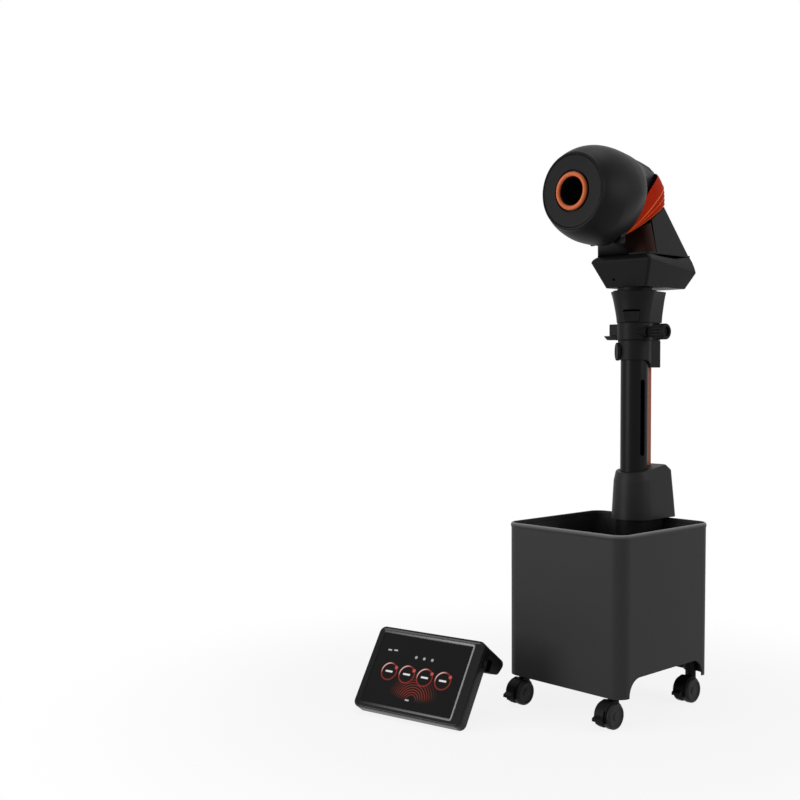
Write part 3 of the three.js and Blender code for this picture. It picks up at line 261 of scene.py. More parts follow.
def tinted(material, mark, colour):
    """Where a mark on the mesh is one, the finish turns to another colour."""
    tree = material.node_tree
    base = tree.nodes["Principled BSDF"].inputs["Base Color"]
    found = add_node(tree, "Attribute", attribute_name=mark)
    blend = add_node(tree, "Mix", {"B": (*colour, 1)}, data_type="RGBA")
    tree.links.new(base.links[0].from_socket, blend.inputs["A"])
    tree.links.new(found.outputs["Fac"], blend.inputs["Factor"])
    tree.links.new(blend.outputs["Result"], base)


# %% [markdown]
# The robot has few finishes: black mouldings with a spark texture outside and a smoother
# one inside, soft rubber on knobs and wheels, satin orange round the ball path, and a
# few metal cans and frames that only show through gaps. A mark on a mesh can turn its
# finish to another colour in one place, as in the painted highlight on the bin's lip.

# %% Finishes
moulded_black = finish("moulded_black", (0.0055, 0.0055, 0.0057), 0.46, grain=0.35,
                       grain_size=0.9, mirror=0.1)
hood_black = finish("hood_black", (0.013, 0.013, 0.0135), 0.46, grain=0.35, grain_size=0.9)
bin_black = finish("bin_black", (0.029, 0.029, 0.0295), 0.52, grain=0.35, grain_size=0.9)
inner_black = finish("inner_black", (0.006, 0.006, 0.0062), 0.46, grain=0.2, grain_size=1.4,
                     mirror=0.08)
pipe_black = finish("pipe_black", (0.0055, 0.0055, 0.0057), 0.36, grain=0.08, grain_size=2.0,
                    stretch=(1, 1, 0.1), mirror=0.08)
grip_rubber = finish("grip_rubber", (0.008, 0.008, 0.0083), 0.62, grain=0.3, grain_size=0.6,
                     mirror=0.1)
wheel_rubber = finish("wheel_rubber", (0.05, 0.05, 0.052), 0.8, grain=0.8, grain_size=1.6)
caster_rubber = finish("caster_rubber", (0.02, 0.02, 0.0205), 0.5, grain=0.25, grain_size=1.0)
nozzle_orange = finish("nozzle_orange", (0.66, 0.14, 0.038), 0.36, cloud=0.05, grain=0.1,
                       mirror=0.25)
rail_orange = finish("rail_orange", (0.32, 0.09, 0.05), 0.42, cloud=0.1, grain=0.2,
                     stretch=(1, 1, 0.1), mirror=0.2)
motor_steel = finish("motor_steel", (0.48, 0.48, 0.49), 0.3, grain=0.25, metal=1.0,
                     stretch=(0.05, 1, 1))
frame_aluminium = finish("frame_aluminium", (0.62, 0.62, 0.63), 0.34, grain=0.25, metal=1.0,
                         stretch=(1, 0.05, 1))
gloss_black = finish("gloss_black", (0.007, 0.007, 0.0075), 0.2, rough_spread=0.04, cloud=0.1,
                     grain=0.02, coat=0.06, mirror=0.12)
# The bin's lip gets a painted highlight: pale grey where its lip mark is one.
tinted(bin_black, "lip", (0.28, 0.28, 0.282))

# %% [markdown]
# A piece is a mesh made in place, smoothed wherever its faces meet at a shallow angle and
# left sharp elsewhere. A narrow bevel then rounds the sharp edges, because no moulding
# has a perfectly sharp one, and the light line along an edge is what shows its shape.

# %% Meshes and edges
BEVEL_STEPS, BEVEL_FROM, WELD_WITHIN = 3, 35, 0.00001


def soften(thing, width):
    """Rounds the sharp edges and steers the shading by the size of each face."""
    if width:
        edge = thing.modifiers.new("edge", "BEVEL")
        edge.width = width / 1000
        edge.segments = BEVEL_STEPS
        edge.limit_method = "ANGLE"
        edge.angle_limit = math.radians(BEVEL_FROM)
        edge.use_clamp_overlap = True
    shade = thing.modifiers.new("shade", "WEIGHTED_NORMAL")
    shade.keep_sharp = True


def coat_and_smooth(thing, material):
    """Gives a mesh its one finish and smooth shading all over."""
    thing.data.materials.clear()
    thing.data.materials.append(material)
    thing.data.polygons.foreach_set("use_smooth", [True] * len(thing.data.polygons))


def raw_mesh(name, shape):
    """Points and faces become a mesh with its faces pointing outwards."""
    points, faces = shape
    mesh = bpy.data.meshes.new(name)
    mesh.from_pydata(in_frame(points).tolist(), [], faces)
    work = bmesh.new()
    work.from_mesh(mesh)
    bmesh.ops.recalc_face_normals(work, faces=work.faces)
    work.to_mesh(mesh)
    work.free()
    return mesh


def carve(thing, tools):
    """Cuts tool shapes out of a piece, and keeps the result as its mesh."""
    cutters = []
    for number, shape in enumerate(tools):
        cutter = bpy.data.objects.new(f"cutter_{number}", raw_mesh("cutter", shape))
        bpy.context.collection.objects.link(cutter)
        cut = thing.modifiers.new("cut", "BOOLEAN")
        cut.object, cut.operation, cut.solver = cutter, "DIFFERENCE", "EXACT"
        cutters.append(cutter)
    bpy.context.view_layer.update()
    seen = thing.evaluated_get(bpy.context.evaluated_depsgraph_get())
    carved = bpy.data.meshes.new_from_object(seen)
    thing.modifiers.clear()
    thing.data = carved
    for cutter in cutters:
        bpy.data.objects.remove(cutter)


print("a bevel rounds edges over", BEVEL_FROM, "degrees in", BEVEL_STEPS, "steps")

# %% [markdown]
# Every piece rides on a body of the imported record and stands for the solids that it
# covers. The solids bring materials of their own with the same names, so Blender adds a
# number to a finish's name. A solid whose shape is right is only dressed.


def piece(name, shape, body, material, stands_for=(), edge=0.4, cuts=(), sharp=32, marks=None):
    """Makes a piece, carves it, finishes it and lets it ride on its body. Marks are named
    numbers on its points, which a finish can read."""
    thing = bpy.data.objects.new(name, raw_mesh(name, shape))
    bpy.context.collection.objects.link(thing)
    for mark, values in (marks or {}).items():
        kept = thing.data.attributes.new(mark, "FLOAT", "POINT")
        kept.data.foreach_set("value", np.asarray(values, np.float32).ravel())
    if cuts:
        carve(thing, cuts)
    coat_and_smooth(thing, material)
    thing.data.set_sharp_from_angle(angle=math.radians(sharp))
    soften(thing, edge)
    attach(thing, body)
    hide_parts(*stands_for)
    print(name, len(thing.data.polygons), "faces")
    return thing


def dress(material, edge, *nodes):
    """A solid whose shape is right keeps it: its loose triangles are welded, its edges
    rounded, and it gets a finish."""
    for node in nodes:
        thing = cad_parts[node]
        coat_and_smooth(thing, material)
        thing.modifiers.new("weld", "WELD").merge_threshold = WELD_WITHIN
        soften(thing, edge)
        print("dressed", node)


# %% [markdown]
# ## Camera
# The picture was taken from in front and to the right of the robot, 0.63 m up and so well
# below the head. The lens and place come from the bin's vanishing directions.

# %% Camera
lens = bpy.data.cameras.new("camera")
lens.lens, lens.sensor_width = 52.64, 36
camera = bpy.data.objects.new("camera", lens)
bpy.context.collection.objects.link(camera)
right, up, back = (0.6833, 0.7301, 0.0), (-0.0200, 0.0187, 0.9996), (0.7298, -0.6831, 0.0274)
eye = origin + np.array([1.3268, -1.7765, 0.6258])
camera.matrix_world = Matrix([
    [right[k], up[k], back[k], eye[k]] for k in range(3)] + [[0, 0, 0, 1]])
bpy.context.scene.camera = camera
print("camera at", np.round(eye, 3))

# %% [markdown]
# ## Ball bin
# The bin is one deep moulding with 3 mm walls that lean in slightly, so that it leaves its
# mould. Its rim is rolled outwards into an 8 mm lip, and its two sides are arched between
# the corner feet. A box with a Solidify modifier would lose the lip; here the wall's
# section runs round the outline, and only the lowest point of the section follows the arch.

# %% Bin
BIN_LOW, BIN_HALF_X, BIN_HALF_Y, CORNER = 53.0, 133.5, 140.5, 27
FOOT_Y, ARCH_LOW, ARCH_RADIUS = 113.5, 55.5, 30

side_y = np.concatenate([
    [FOOT_Y + 0.01],
    FOOT_Y - ARCH_RADIUS + ARCH_RADIUS * np.cos(np.radians(np.linspace(0, 90, 13))), [40, 0]])
side_y = np.concatenate([-side_y, side_y[-2::-1]])


def bin_outline(inset):
    """Rounded corners, with the long sides stepped where the arch needs its points."""
    x, y, r = BIN_HALF_X - inset, BIN_HALF_Y - inset, CORNER - inset
    return np.concatenate([
        bow(x - r, r - y, r, -90, 0, 12), np.column_stack([np.full(len(side_y), x), side_y]),
        bow(x - r, y - r, r, 0, 90, 12), bow(r - x, y - r, r, 90, 180, 12),
        np.column_stack([np.full(len(side_y), -x), -side_y]),
        bow(r - x, r - y, r, 180, 270, 12)])


def arch_height(outline):
    """The bottom edge: low at the feet, a quarter circle up, then level between them."""
    into = np.clip(FOOT_Y - np.abs(outline[:, 1]), 0, ARCH_RADIUS)
    arched = ARCH_LOW + np.sqrt(np.maximum(ARCH_RADIUS**2 - (ARCH_RADIUS - into) ** 2, 0))
    on_side = (np.abs(outline[:, 1]) <= FOOT_Y) & (np.abs(outline[:, 0]) > BIN_HALF_X - 8)
    return np.where(on_side, arched, BIN_LOW)


# inset and height of each point of the wall's section; no height means the arched edge
bin_section = [
    (2.0, None), (1.0, 329.0), (0.6, 329.4), (0.1, 330.4), (0.0, 331.4), (0.0, 333.6),
    (0.3, 335.2), (1.0, 336.6), (2.0, 337.5), (3.2, 338.0), (4.0, 338.0), (4.6, 337.8),
    (4.95, 337.2), (5.0, 336.4), (5.0, 330.9), (4.6, 330.2), (4.0, 329.6), (5.0, None)]
bin_loops = []
for inset, height in bin_section:
    outline = bin_outline(inset)
    bin_loops.append(at_height(outline, arch_height(outline) if height is None else height))
# The lip mark paints a highlight along the rolled rim, strongest across its top.
lip_highlight_share = [0.15, 0.3, 0.6, 1, 1, 0.6, 0.3]
lip_highlight_mark = np.zeros((len(bin_loops), len(bin_loops[0])))
lip_highlight_mark[5:12] = np.array(lip_highlight_share)[:, None]
piece("bin_walls", ring(bin_loops), "base", bin_black, ["bin_shell"],
      edge=0, marks={"lip": lip_highlight_mark})
dress(inner_black, 0.3, "ball_floor")
dress(inner_black, 0.5, "base_plate")

# %% [markdown]
# ## Casters
# Each corner stands on a twin-wheel caster. The wheel's face is dished inside a raised rim
# and has a small hub cap, and the tread is rounded at both edges. A lathe does all of this
# at once: the wheel's closed section is carried round the axle.

# %% Casters
CASTER_X, CASTER_Y, TRAIL, WHEEL = 102.0, 120.0, 13.0, 23.0
wheel_section = [
    (1.6, 4.5), (22.2, 4.5), (22.8, 4.8), (23.0, 5.6), (23.0, 11.2), (22.96, 12.4),
    (22.6, 14.2), (21.6, 15.8), (20.2, 16.8), (18.6, 17.3), (17.8, 17.4), (17.2, 17.0),
    (16.4, 15.9), (15.0, 15.5), (8.6, 15.3), (7.6, 15.6), (7.2, 16.4), (6.6, 16.7),
    (3.0, 16.8), (1.6, 16.7)]
for corner, sign_x, sign_y in (("front_left", -1, -1), ("front_right", 1, -1),
                               ("rear_left", -1, 1), ("rear_right", 1, 1)):
    hub = (sign_x * CASTER_X, sign_y * CASTER_Y - TRAIL, WHEEL)
    axle = rod(1.7, -16.9, 16.9, hub, (1, 0, 0), 24, core=0.3)
    wheels = [lathe(wheel_section, hub, (way, 0, 0), 72) for way in (-1, 1)]
    piece(f"twin_wheels_{corner}", together(axle, *wheels), f"wheels_{corner}", caster_rubber,
          [f"caster_wheels_{corner}"], edge=0)
    dress(inner_black, 0.5, f"caster_fork_{corner}", f"caster_brake_{corner}")

# %% [markdown]
# ## Lift
# Balls roll to the rear of the bin, and a paddle wheel pushes them up the tube. A tapered
# hood covers the foot of the tube: it is round in front, square behind, and its top slopes
# up towards the back. The same outline is drawn at each level with its own reach. A crisp
# shoulder runs round it where the top band starts to lean inwards.

# %% Lift hood
HOOD_LOW, HOOD_TOP, HOOD_RISE = 338.3, 427.0, 13.0
COUNT = 192


def hood_height(outline, level):
    """Level 0 is the foot, 1 the shoulder and 2 the top; the last two slope up rearwards."""
    share = (outline[:, 1] - TUBE_Y + 33) / 90
    top = HOOD_TOP + HOOD_RISE * share
    shoulder = top - 17 + 4.5 * share
    below = HOOD_LOW + (shoulder - HOOD_LOW) * min(level, 1)
    return below + (top - shoulder) * max(level - 1, 0)


def hood_loop(front, rear, corner, level):
    """The hood's outline with its own reach in front and behind, at one level."""
    outline = respaced(hood_outline(front, rear, corner), COUNT)
    return at_height(outline, hood_height(outline, level))


mouth = respaced(bow(0, TUBE_Y, 26.2, 180, 180 + 360 * (COUNT - 1) / COUNT, COUNT - 1), COUNT)
hood_loops = [hood_loop(*row) for row in (
    (42.0, 84.0, 10, 0), (40.7, 80.5, 9.5, 0.35), (39.3, 76.8, 9, 0.7), (38.1, 73.4, 8, 0.985),
    (37.6, 72.4, 8, 1.02), (34.5, 61.2, 7, 1.9), (33.7, 59.8, 7, 1.97), (32.4, 58.2, 6.5, 2))]
hood_loops += [at_height(mouth, hood_height(mouth, 2) - drop) for drop in (0, 3)]
hood_loops += [hood_loop(34.5, 68, 6, 0.97), hood_loop(39, 81, 8, 0)]
piece("lift_hood", ring(hood_loops), "base", hood_black, ["lift_housing"])
dress(inner_black, 0.3, "lift_tower")
dress(wheel_rubber, 0.3, "pickup_wheel")
dress(motor_steel, 0.3, "lift_motor")

# %% [markdown]
# ## Tube and rail
# The tube is a plain extrusion with a slot down its right side, through which the balls can
# be seen. The slot is cut as one long shape with round ends. Behind the tube, an orange
# rail with a groove in its rear face keeps the height carriage from turning.

# %% Tube and rail
PIPE_LOW, PIPE_TOP, PIPE_BORE, PIPE_RADIUS = 346, 701, 23.5, 26
SLOT_LOW, SLOT_HIGH, SLOT_HALF, SLOT_TURN = 463.8, 599.2, 4.8, math.radians(-17)
pipe = lathe([
    (PIPE_BORE, PIPE_LOW), (PIPE_BORE, PIPE_TOP), (23.9, PIPE_TOP), (25.6, PIPE_TOP),
    (PIPE_RADIUS, 700.6), (PIPE_RADIUS, 346.4), (25.6, PIPE_LOW), (23.9, PIPE_LOW)],
    (0, TUBE_Y, 0), (0, 0, 1), 120)
slot_across = np.concatenate([bow(0, SLOT_HIGH, SLOT_HALF, 0, 180, 12),
                              bow(0, SLOT_LOW, SLOT_HALF, 180, 360, 12)])
slot_cutter = skin([np.column_stack([
    reach * math.cos(SLOT_TURN) - slot_across[:, 0] * math.sin(SLOT_TURN),
    TUBE_Y + reach * math.sin(SLOT_TURN) + slot_across[:, 0] * math.cos(SLOT_TURN),
    slot_across[:, 1]]) for reach in (15, 32)])
piece("lift_pipe", pipe, "base", pipe_black, ["ball_tube"], edge=0.3, cuts=[slot_cutter])

rail_front, rail_back = TUBE_Y + 26.05, TUBE_Y + 50.4
rail_outline = np.concatenate([
    [[-3.7, rail_front + 0.3], [-3.4, rail_front], [3.4, rail_front], [3.7, rail_front + 0.3]],
    bow(3.2, rail_back - 0.8, 0.8, 0, 90, 4), [[1.6, rail_back], [1.28, rail_back - 0.3]],
    [[1.28, rail_back - 5.5], [-1.28, rail_back - 5.5], [-1.28, rail_back - 0.3]],
    [[-1.6, rail_back]], bow(-3.2, rail_back - 0.8, 0.8, 90, 180, 4)])
piece("carriage_rail", skin([at_height(rail_outline, z) for z in (430, 652)]), "base",
      rail_orange, ["guide_rail"], edge=0.3)

# %% [markdown]
# ## Height carriage
# Two collars ride on the tube, and a channel in their back runs on the rail. Their
# section is closed both ways: up the outside, in over the rounded top edge to the bore,
# and down it. The lower collar has a tail round the rail, and a screw with a toothed
# thumb wheel that sets its height; the upper one is clamped by a ribbed grip.

# %% Collars
def collar_outline(inset, radius):
    """Three quarters of a circle round the tube, and two rounded corners behind it."""
    return respaced(np.concatenate([
        bow(0, TUBE_Y, radius - inset, 135, 405, 54),
        bow(17 - inset, TUBE_Y + 43 - inset, 10, 0, 90, 8),
        bow(inset - 17, TUBE_Y + 43 - inset, 10, 90, 180, 8)]), COUNT)


BORE, CHANNEL_HALF = 26.3, 4.5
gate = math.degrees(math.asin(CHANNEL_HALF / BORE))
bore_outline = respaced(np.concatenate([
    bow(0, TUBE_Y, BORE, 90 + gate, 450 - gate, 90),
    [[CHANNEL_HALF, TUBE_Y + 51], [-CHANNEL_HALF, TUBE_Y + 51]]]), COUNT)


def collar(low, high, radius, tail=0.0, rounding=1.2):
    """The wall between the outline and the bore, with both outer edges rounded. A tail
    drops the lower edge smoothly towards the rear."""
    def drop(outline):
        """How far the tail lowers each point: a smooth step from nought to the whole tail."""
        share = np.clip((outline[:, 1] - 72) / 36, 0, 1)
        return tail * share * share * (3 - 2 * share)

    loops = [at_height(bore_outline, low - drop(bore_outline))]
    for edge, way, angles in ((low, 1, (90, 60, 30, 0)), (high, -1, (0, 30, 60, 90))):
        for angle in np.radians(angles):
            outline = collar_outline(rounding * (1 - math.cos(angle)), radius)
            height = edge + way * rounding * (1 - math.sin(angle))
            loops.append(at_height(outline, height - (drop(outline) if edge == low else 0)))
    return ring(loops + [at_height(bore_outline, high)])


def around(angle, radius, height):
    """A place at an angle round the tube, at a distance from its axis."""
    return np.array([radius * math.cos(math.radians(angle)),
                     TUBE_Y + radius * math.sin(math.radians(angle)), height])


def outward(angle):
    """The direction away from the tube at an angle round it."""
    return np.array([math.cos(math.radians(angle)), math.sin(math.radians(angle)), 0])


KNOB_TURN = -133
knob_place = around(KNOB_TURN, 29.3, 657)
knob_seat = rod(17.9, -0.4, 12, knob_place, outward(KNOB_TURN), 64)
piece("lower_clamp", collar(641, 678.7, 31.4, tail=14.5), "carriage", moulded_black,
      ["lower_collar"], edge=0, cuts=[knob_seat])

# %% [markdown]
# The clamp ring has a round neck towards the grip on its right and a square catch on its
# left, which the small lever hooks. Below the catch, the lever turns on a short pin.

# %% Clamp ring
CLAMP_Z, LEVER_X, PIN_TOP = 694, -38.88, 690
neck_stub = lathe([(0.2, 27), (10, 27), (10, 33.6), (9.4, 34.6), (0.2, 34.6)],
                  (0, TUBE_Y, CLAMP_Z), (1, 0, 0), 48)
catch = skin([at_height(rounded_box(13.5, TUBE_Y - 8 + i, TUBE_Y + 8 - i, 1.6, 4)
                        + [-40.5, 0], z) for i, z in
              ((0.6, 688), (0, 688.6), (0, 709.4), (0.6, 710))])
pin = rod(3, 679.1, PIN_TOP, (LEVER_X, TUBE_Y, 0), (0, 0, 1), core=0.2)
boss_turn = np.radians(np.linspace(0, 360, 48, endpoint=False))
boss = skin([np.column_stack([np.full(48, x), y + r * np.cos(boss_turn),
                              CLAMP_Z + r * np.sin(boss_turn)]) for x, y, r in (
    (15, 51.5, 1.5), (21, 56.5, 4.2), (27, 63, 6.8), (31, 69, 8.4), (34.4, 75, 9.8))])
piece("clamp_ring", together(collar(679, 711.7, 33), neck_stub, catch, pin, boss), "carriage",
      moulded_black, ["upper_collar"], edge=0)


def lever_outline(reach):
    """Round at its pin, then a broad tongue whose end lies at a reach from the tube."""
    return np.concatenate([
        bow(LEVER_X, TUBE_Y, 7.58, -80, 80, 12), [[-49.88, TUBE_Y + 11]],
        bow(5 - reach, TUBE_Y + 6, 5, 90, 180, 8), bow(5 - reach, TUBE_Y - 6, 5, 180, 270, 8),
        [[-49.88, TUBE_Y - 11]]])


lever_bore = rod(3.3, 670, 695, (LEVER_X, TUBE_Y, 0), (0, 0, 1))
tongue = skin([at_height(lever_outline(reach), z) for reach, z in
               ((58.6, 679.7), (59.6, 680.3), (66.2, 687.1), (66.6, 687.7))])
lip = skin([at_height(rounded_box(half, TUBE_Y - 9, TUBE_Y + 9, 0.6, 3) + [x, 0], z)
            for half, x, z in ((2.0, -63.6, 687), (1.3, -65.2, 689.6), (0.9, -65.9, 690.6))])
piece("catch_lever", together(tongue, lip), "clamp_lever_body", inner_black,
      ["clamp_lever"], edge=0, cuts=[lever_bore])

# %% [markdown]
# The thumb wheel is gripped by twenty rounded teeth and the clamp grip by twelve long
# ribs. Both are a circle whose radius rises and falls with the angle; a power of the
# cosine makes the ribs broad and the grooves narrow.

# %% Thumb wheel and grip
def toothed(radius, depth, teeth, count, sharpness=0.35):
    """Radius less depth where a cosine of so many waves is low; wide tops, thin grooves."""
    angle = np.linspace(0, 2 * math.pi, count, endpoint=False)
    wave = (0.5 + 0.5 * np.cos(teeth * angle)) ** sharpness
    reach = radius - depth * (1 - wave)
    return np.stack([reach * np.cos(angle), reach * np.sin(angle)], -1)


def along(loops, centre, axis):
    """Loops of (outline, distance) laid square to an axis."""
    axis = np.asarray(axis, float)
    side = np.cross(axis, [0, 0, 1])
    up = np.cross(side, axis)
    return [np.asarray(centre) + distance * axis + outline[:, :1] * side + outline[:, 1:] * up
            for outline, distance in loops]


wheel_loops = [(toothed(radius, depth, 20, 240), distance) for radius, depth, distance in (
    (16.6, 1.1, 0.0), (17.2, 1.1, 0.6), (17.2, 1.1, 5.4), (16.6, 1.1, 6.0), (12.6, 0, 6.0),
    (11.8, 0, 5.2), (4.0, 0, 5.0))]
knob_screw = rod(3.5, -2.7, 0.2, knob_place, outward(KNOB_TURN), core=0.2)
piece("thumb_wheel",
      together(skin(along(wheel_loops, knob_place, outward(KNOB_TURN))), knob_screw),
      "collar_knob_body", grip_rubber, ["collar_knob"], edge=0.2)

ribs = toothed(15, 2.4, 12, 288, 0.3)
plain = toothed(15, 0, 12, 288)
grip_loops = [(plain * 0.56, 0.0), (plain * 0.6, 0.3), (ribs * 0.66, 1.2), (ribs * 0.78, 5.0),
              (ribs * 0.92, 10.5), (ribs, 16.0), (ribs, 31.0),
              (plain * 0.985, 32.0), (plain, 32.8), (plain, 35.2), (plain * 0.97, 36.6),
              (plain * 0.9, 37.6), (plain * 0.8, 38.0), (plain * 0.66, 37.9),
              (plain * 0.62, 37.2), (plain * 0.6, 32.4), (plain * 0.2, 32.0)]
grip_place = (35, TUBE_Y, CLAMP_Z)
grip_screw = rod(4, -5.7, 0.4, grip_place, (1, 0, 0), core=0.2)
piece("ribbed_grip", together(skin(along(grip_loops, grip_place, (1, 0, 0))), grip_screw),
      "clamp_grip_body", grip_rubber, ["clamp_grip"], edge=0)

# %% [markdown]
# ## Socket
# Above the collars, a socket flares out to carry the turret. Its reach grows slowly at
# first and faster near the top, so the side is a smooth trumpet curve. A catch button
# sits in a pocket on its front right and is pressed inwards by 2 mm.

# %% Socket and button
SOCKET_LOW, SOCKET_TOP = 712.0, 771.0
rise_knots, flare_knots = [0, 0.2, 0.5, 0.8, 1], [0, 0.11, 0.38, 0.70, 1]


def socket_loop(share, inset, drop=0.0):
    """The collar's outline grows into the turret's seat by a smooth flare."""
    flare = smooth_through(rise_knots, flare_knots, share)
    front, rear = 33.8 + 11.4 * flare - inset, 53 + 5 * flare - inset
    side = max(29.8 + 6.2 * flare - inset, front * 0.78)
    outline = respaced(hood_outline(front, rear, 10, side), COUNT)
    return at_height(outline, SOCKET_LOW + (SOCKET_TOP - SOCKET_LOW) * share - drop)


socket_loops = [at_height(bore_outline, SOCKET_LOW)]
socket_loops += [socket_loop(s, 0) for s in np.linspace(0, 0.975, 16)]
socket_loops += [socket_loop(1, 0.35, 0.5), socket_loop(1, 1.1)]
socket_loops += [socket_loop(1, 2.6), socket_loop(0.98, 3.5), socket_loop(0.7, 3.5),
                 socket_loop(0.4, 3.5), at_height(bore_outline, SOCKET_LOW + 12)]
button_seat, button_out, button_side = around(-65, 28.8, 714), outward(-65), outward(25)


def button_loop(grow, depth, rounding=0.0, top=21.0):
    """A tapered four-sided outline with round corners, wider at the top."""
    high = np.array([0 - grow + rounding, top + grow - rounding])
    half = np.array([13 + grow - rounding, 13 + top / 7 + grow - rounding])
    corners = np.array([[-half[0], high[0]], [half[0], high[0]], [half[1], high[1]],
                        [-half[1], high[1]]])
    inner = corners * (1 - 2.2 / 14) + corners.mean(0) * (2.2 / 14)
    points = np.concatenate([bow(*inner[k], 2.2, start, start + 90, 4) for k, start in
                             ((0, 180), (1, 270), (2, 0), (3, 90))])
    return (button_seat + points[:, :1] * button_side + points[:, 1:] * [0, 0, 1]
            + depth * button_out)


pocket = skin([button_loop(0.5, -2.5), button_loop(0.5, 9)])
piece("turret_socket", ring(socket_loops), "carriage", moulded_black,
      ["head_socket"], edge=0.3, cuts=[pocket])
button_loops = [button_loop(0, depth, rounding, 18) for depth, rounding in (
    (0, 0), (5.0, 0), (5.5, 0.15), (5.9, 0.6), (6.0, 1.2), (5.5, 4.0))]
piece("catch_button", skin(button_loops), "latch_body", moulded_black, ["latch_button"], edge=0)
piece("swivel", lathe([
    (BORE, 771.3), (40.2, 771.3), (40.5, 771.6), (40.5, 772.8), (40.2, 773.1), (33.2, 773.1),
    (33.0, 773.3), (33.0, 777.9), (32.7, 778.2), (BORE, 778.2)], (0, TUBE_Y, 0), (0, 0, 1), 96),
      "carriage", inner_black, ["swivel_ring"], edge=0)

# %% [markdown]
# ## Turret tray
# The tray turns on the socket and carries the neck. It flares from a narrow foot to a wide
# edge that drops towards the rear, then bevels in to a flat top. Along each side the bevel
# is scooped a little, which leaves the curved dark gap under the neck's plate.

# %% Tray
def tray_loop(half_x, front, rear, z_front, z_rear, radius, scoop=0.0):
    """A rounded box whose height runs evenly from front to rear, less a scoop that is
    deepest half way along each side."""
    outline = rounded_box(half_x, front, rear, radius, 8, 40)
    share = (outline[:, 1] - front) / (rear - front)
    dip = scoop * np.sin(np.pi * np.clip(share * 1.15 - 0.08, 0, 1)) ** 1.5
    dip = dip * np.clip((np.abs(outline[:, 0]) / half_x - 0.55) / 0.4, 0, 1) ** 2
    return at_height(outline, z_front + (z_rear - z_front) * share - dip)


throat = rounded_box(29.3, 52.5, 122.5, 8, 8, 40)
tray_loops = [tray_loop(*row) for row in (
    (46.6, 48.6, 180, 778.5, 778.5, 5), (47.2, 48.1, 180.1, 779.7, 779.2, 5),
    (67.6, 30.1, 183.9, 825.8, 806.6, 5), (68.1, 29.7, 184, 826.8, 807.5, 5),
    (68.3, 29.5, 184, 827.7, 808.5, 5), (68.0, 29.7, 184, 828.8, 810.2, 5),
    (66.4, 30.8, 183.2, 832.4, 818.0, 6), (63.4, 32.8, 181.6, 835.3, 828.0, 7),
    (59.9, 34.8, 179.2, 837.2, 836.2, 7, 5.6), (58.8, 35.4, 178.1, 838, 838, 7, 6.0),
    (52, 38, 172, 838, 838, 7, 6.4), (47.6, 40, 168, 838, 838, 7))]
tray_loops += [at_height(throat, 838), at_height(throat, 835),
               tray_loop(50, 43, 170, 834.4, 830, 6), tray_loop(60.5, 37.5, 175.5, 822, 803, 7),
               tray_loop(43, 52, 176, 778.5, 778.5, 5)]
peep = rod(2.7, 20, 60, (-22.5, 0, 793.5), (0, 1, 0), 24)
piece("turret_body", ring(tray_loops), "turret", moulded_black,
      ["turret_tray"], edge=0.3, cuts=[peep])
dress(inner_black, 0.2, "tray_base", "ball_duct", "pitch_pin")
dress(motor_steel, 0.2, "yaw_motor")

# %% [markdown]
# ## Neck
# Two cheeks and a rear wall lean forward from the tray to the fan, and their upper edge
# lies in the plane of the fan's lower mouth. Each point of the open wall is drawn along a
# straight line from its foot until that line meets the plane. A low wall closes the front
# between the cheeks; its dark brown is painted shade under the fan, with a painted reddish
# reflection of the fan's orange.

# %% Neck
HINGE_Y, HINGE_Z, FAN_LOW, FAN_HIGH = -8.0, 860.0, 29.0, 47.5
HINGE, NECK_LOW = (0, HINGE_Y, HINGE_Z), 838.3


def hinged(profile, count=40):
    """A closed profile carried round the tilt hinge."""
    return lathe(profile, HINGE, (1, 0, 0), count)


def to_plane(foot, head, angle):
    """Goes from foot towards head until it meets the plane through the hinge at an angle."""
    slope = math.tan(math.radians(angle))
    above_foot = foot[:, 2] - HINGE_Z - slope * (foot[:, 1] - HINGE_Y)
    above_head = head[:, 2] - HINGE_Z - slope * (head[:, 1] - HINGE_Y)
    share = above_foot / (above_foot - above_head)
    return foot + (head - foot) * share[:, None]


def cheek_path(half_x, front, rear, radius, height):
    """Up one side, round the two rear corners and back down the other side."""
    path = np.concatenate([
        [[half_x, front], [half_x, (front + rear) / 2]],
        bow(half_x - radius, rear - radius, radius, 0, 90, 10),
        bow(radius - half_x, rear - radius, radius, 90, 180, 10),
        [[-half_x, (front + rear) / 2], [-half_x, front]]])
    return at_height(path, height)


mouth_y = HINGE_Y + 154 * math.cos(math.radians(FAN_LOW))
mouth_z = HINGE_Z + 154 * math.sin(math.radians(FAN_LOW))
top_z = mouth_z + 3
top_rear = 180 + (mouth_y - 180) * (top_z - NECK_LOW) / (mouth_z - NECK_LOW)
outer_foot, inner_foot = (cheek_path(*row, NECK_LOW) for row in (
    (59, 66, 180, 12), (55, 66.01, 176, 10)))
outer_head, inner_head = (cheek_path(*row, top_z) for row in (
    (36, 72, top_rear, 12), (32, 72.01, top_rear - 4, 10)))
outer_rim = to_plane(outer_foot, outer_head, FAN_LOW)
inner_rim = to_plane(inner_foot, inner_head, FAN_LOW)
share = np.linspace(0, 1, 9)[:, None, None]
wall_section = np.concatenate([
    outer_foot + (outer_rim - outer_foot) * share, inner_rim + (inner_foot - inner_rim) * share])
cheeks = skin(wall_section.transpose(1, 0, 2))

plate_outline = respaced(rounded_box(59, 38, 180, 8, 8), COUNT)
plate_hole = respaced(rounded_box(26.5, TUBE_Y - 26.5, TUBE_Y + 52, 6, 8), COUNT)
neck_plate = ring([at_height(plate_hole, NECK_LOW), at_height(plate_outline, NECK_LOW),
                   at_height(plate_outline, NECK_LOW + 3), at_height(plate_hole, NECK_LOW + 3)])


def front_path(half_x, front, height):
    """From one cheek forward round two corners and back to the other cheek."""
    return at_height(np.concatenate([
        [[half_x, 66.5]], bow(half_x - 14, front + 14, 14, 0, -90, 8),
        bow(14 - half_x, front + 14, 14, -90, -180, 8), [[-half_x, 66.5]]]), height)


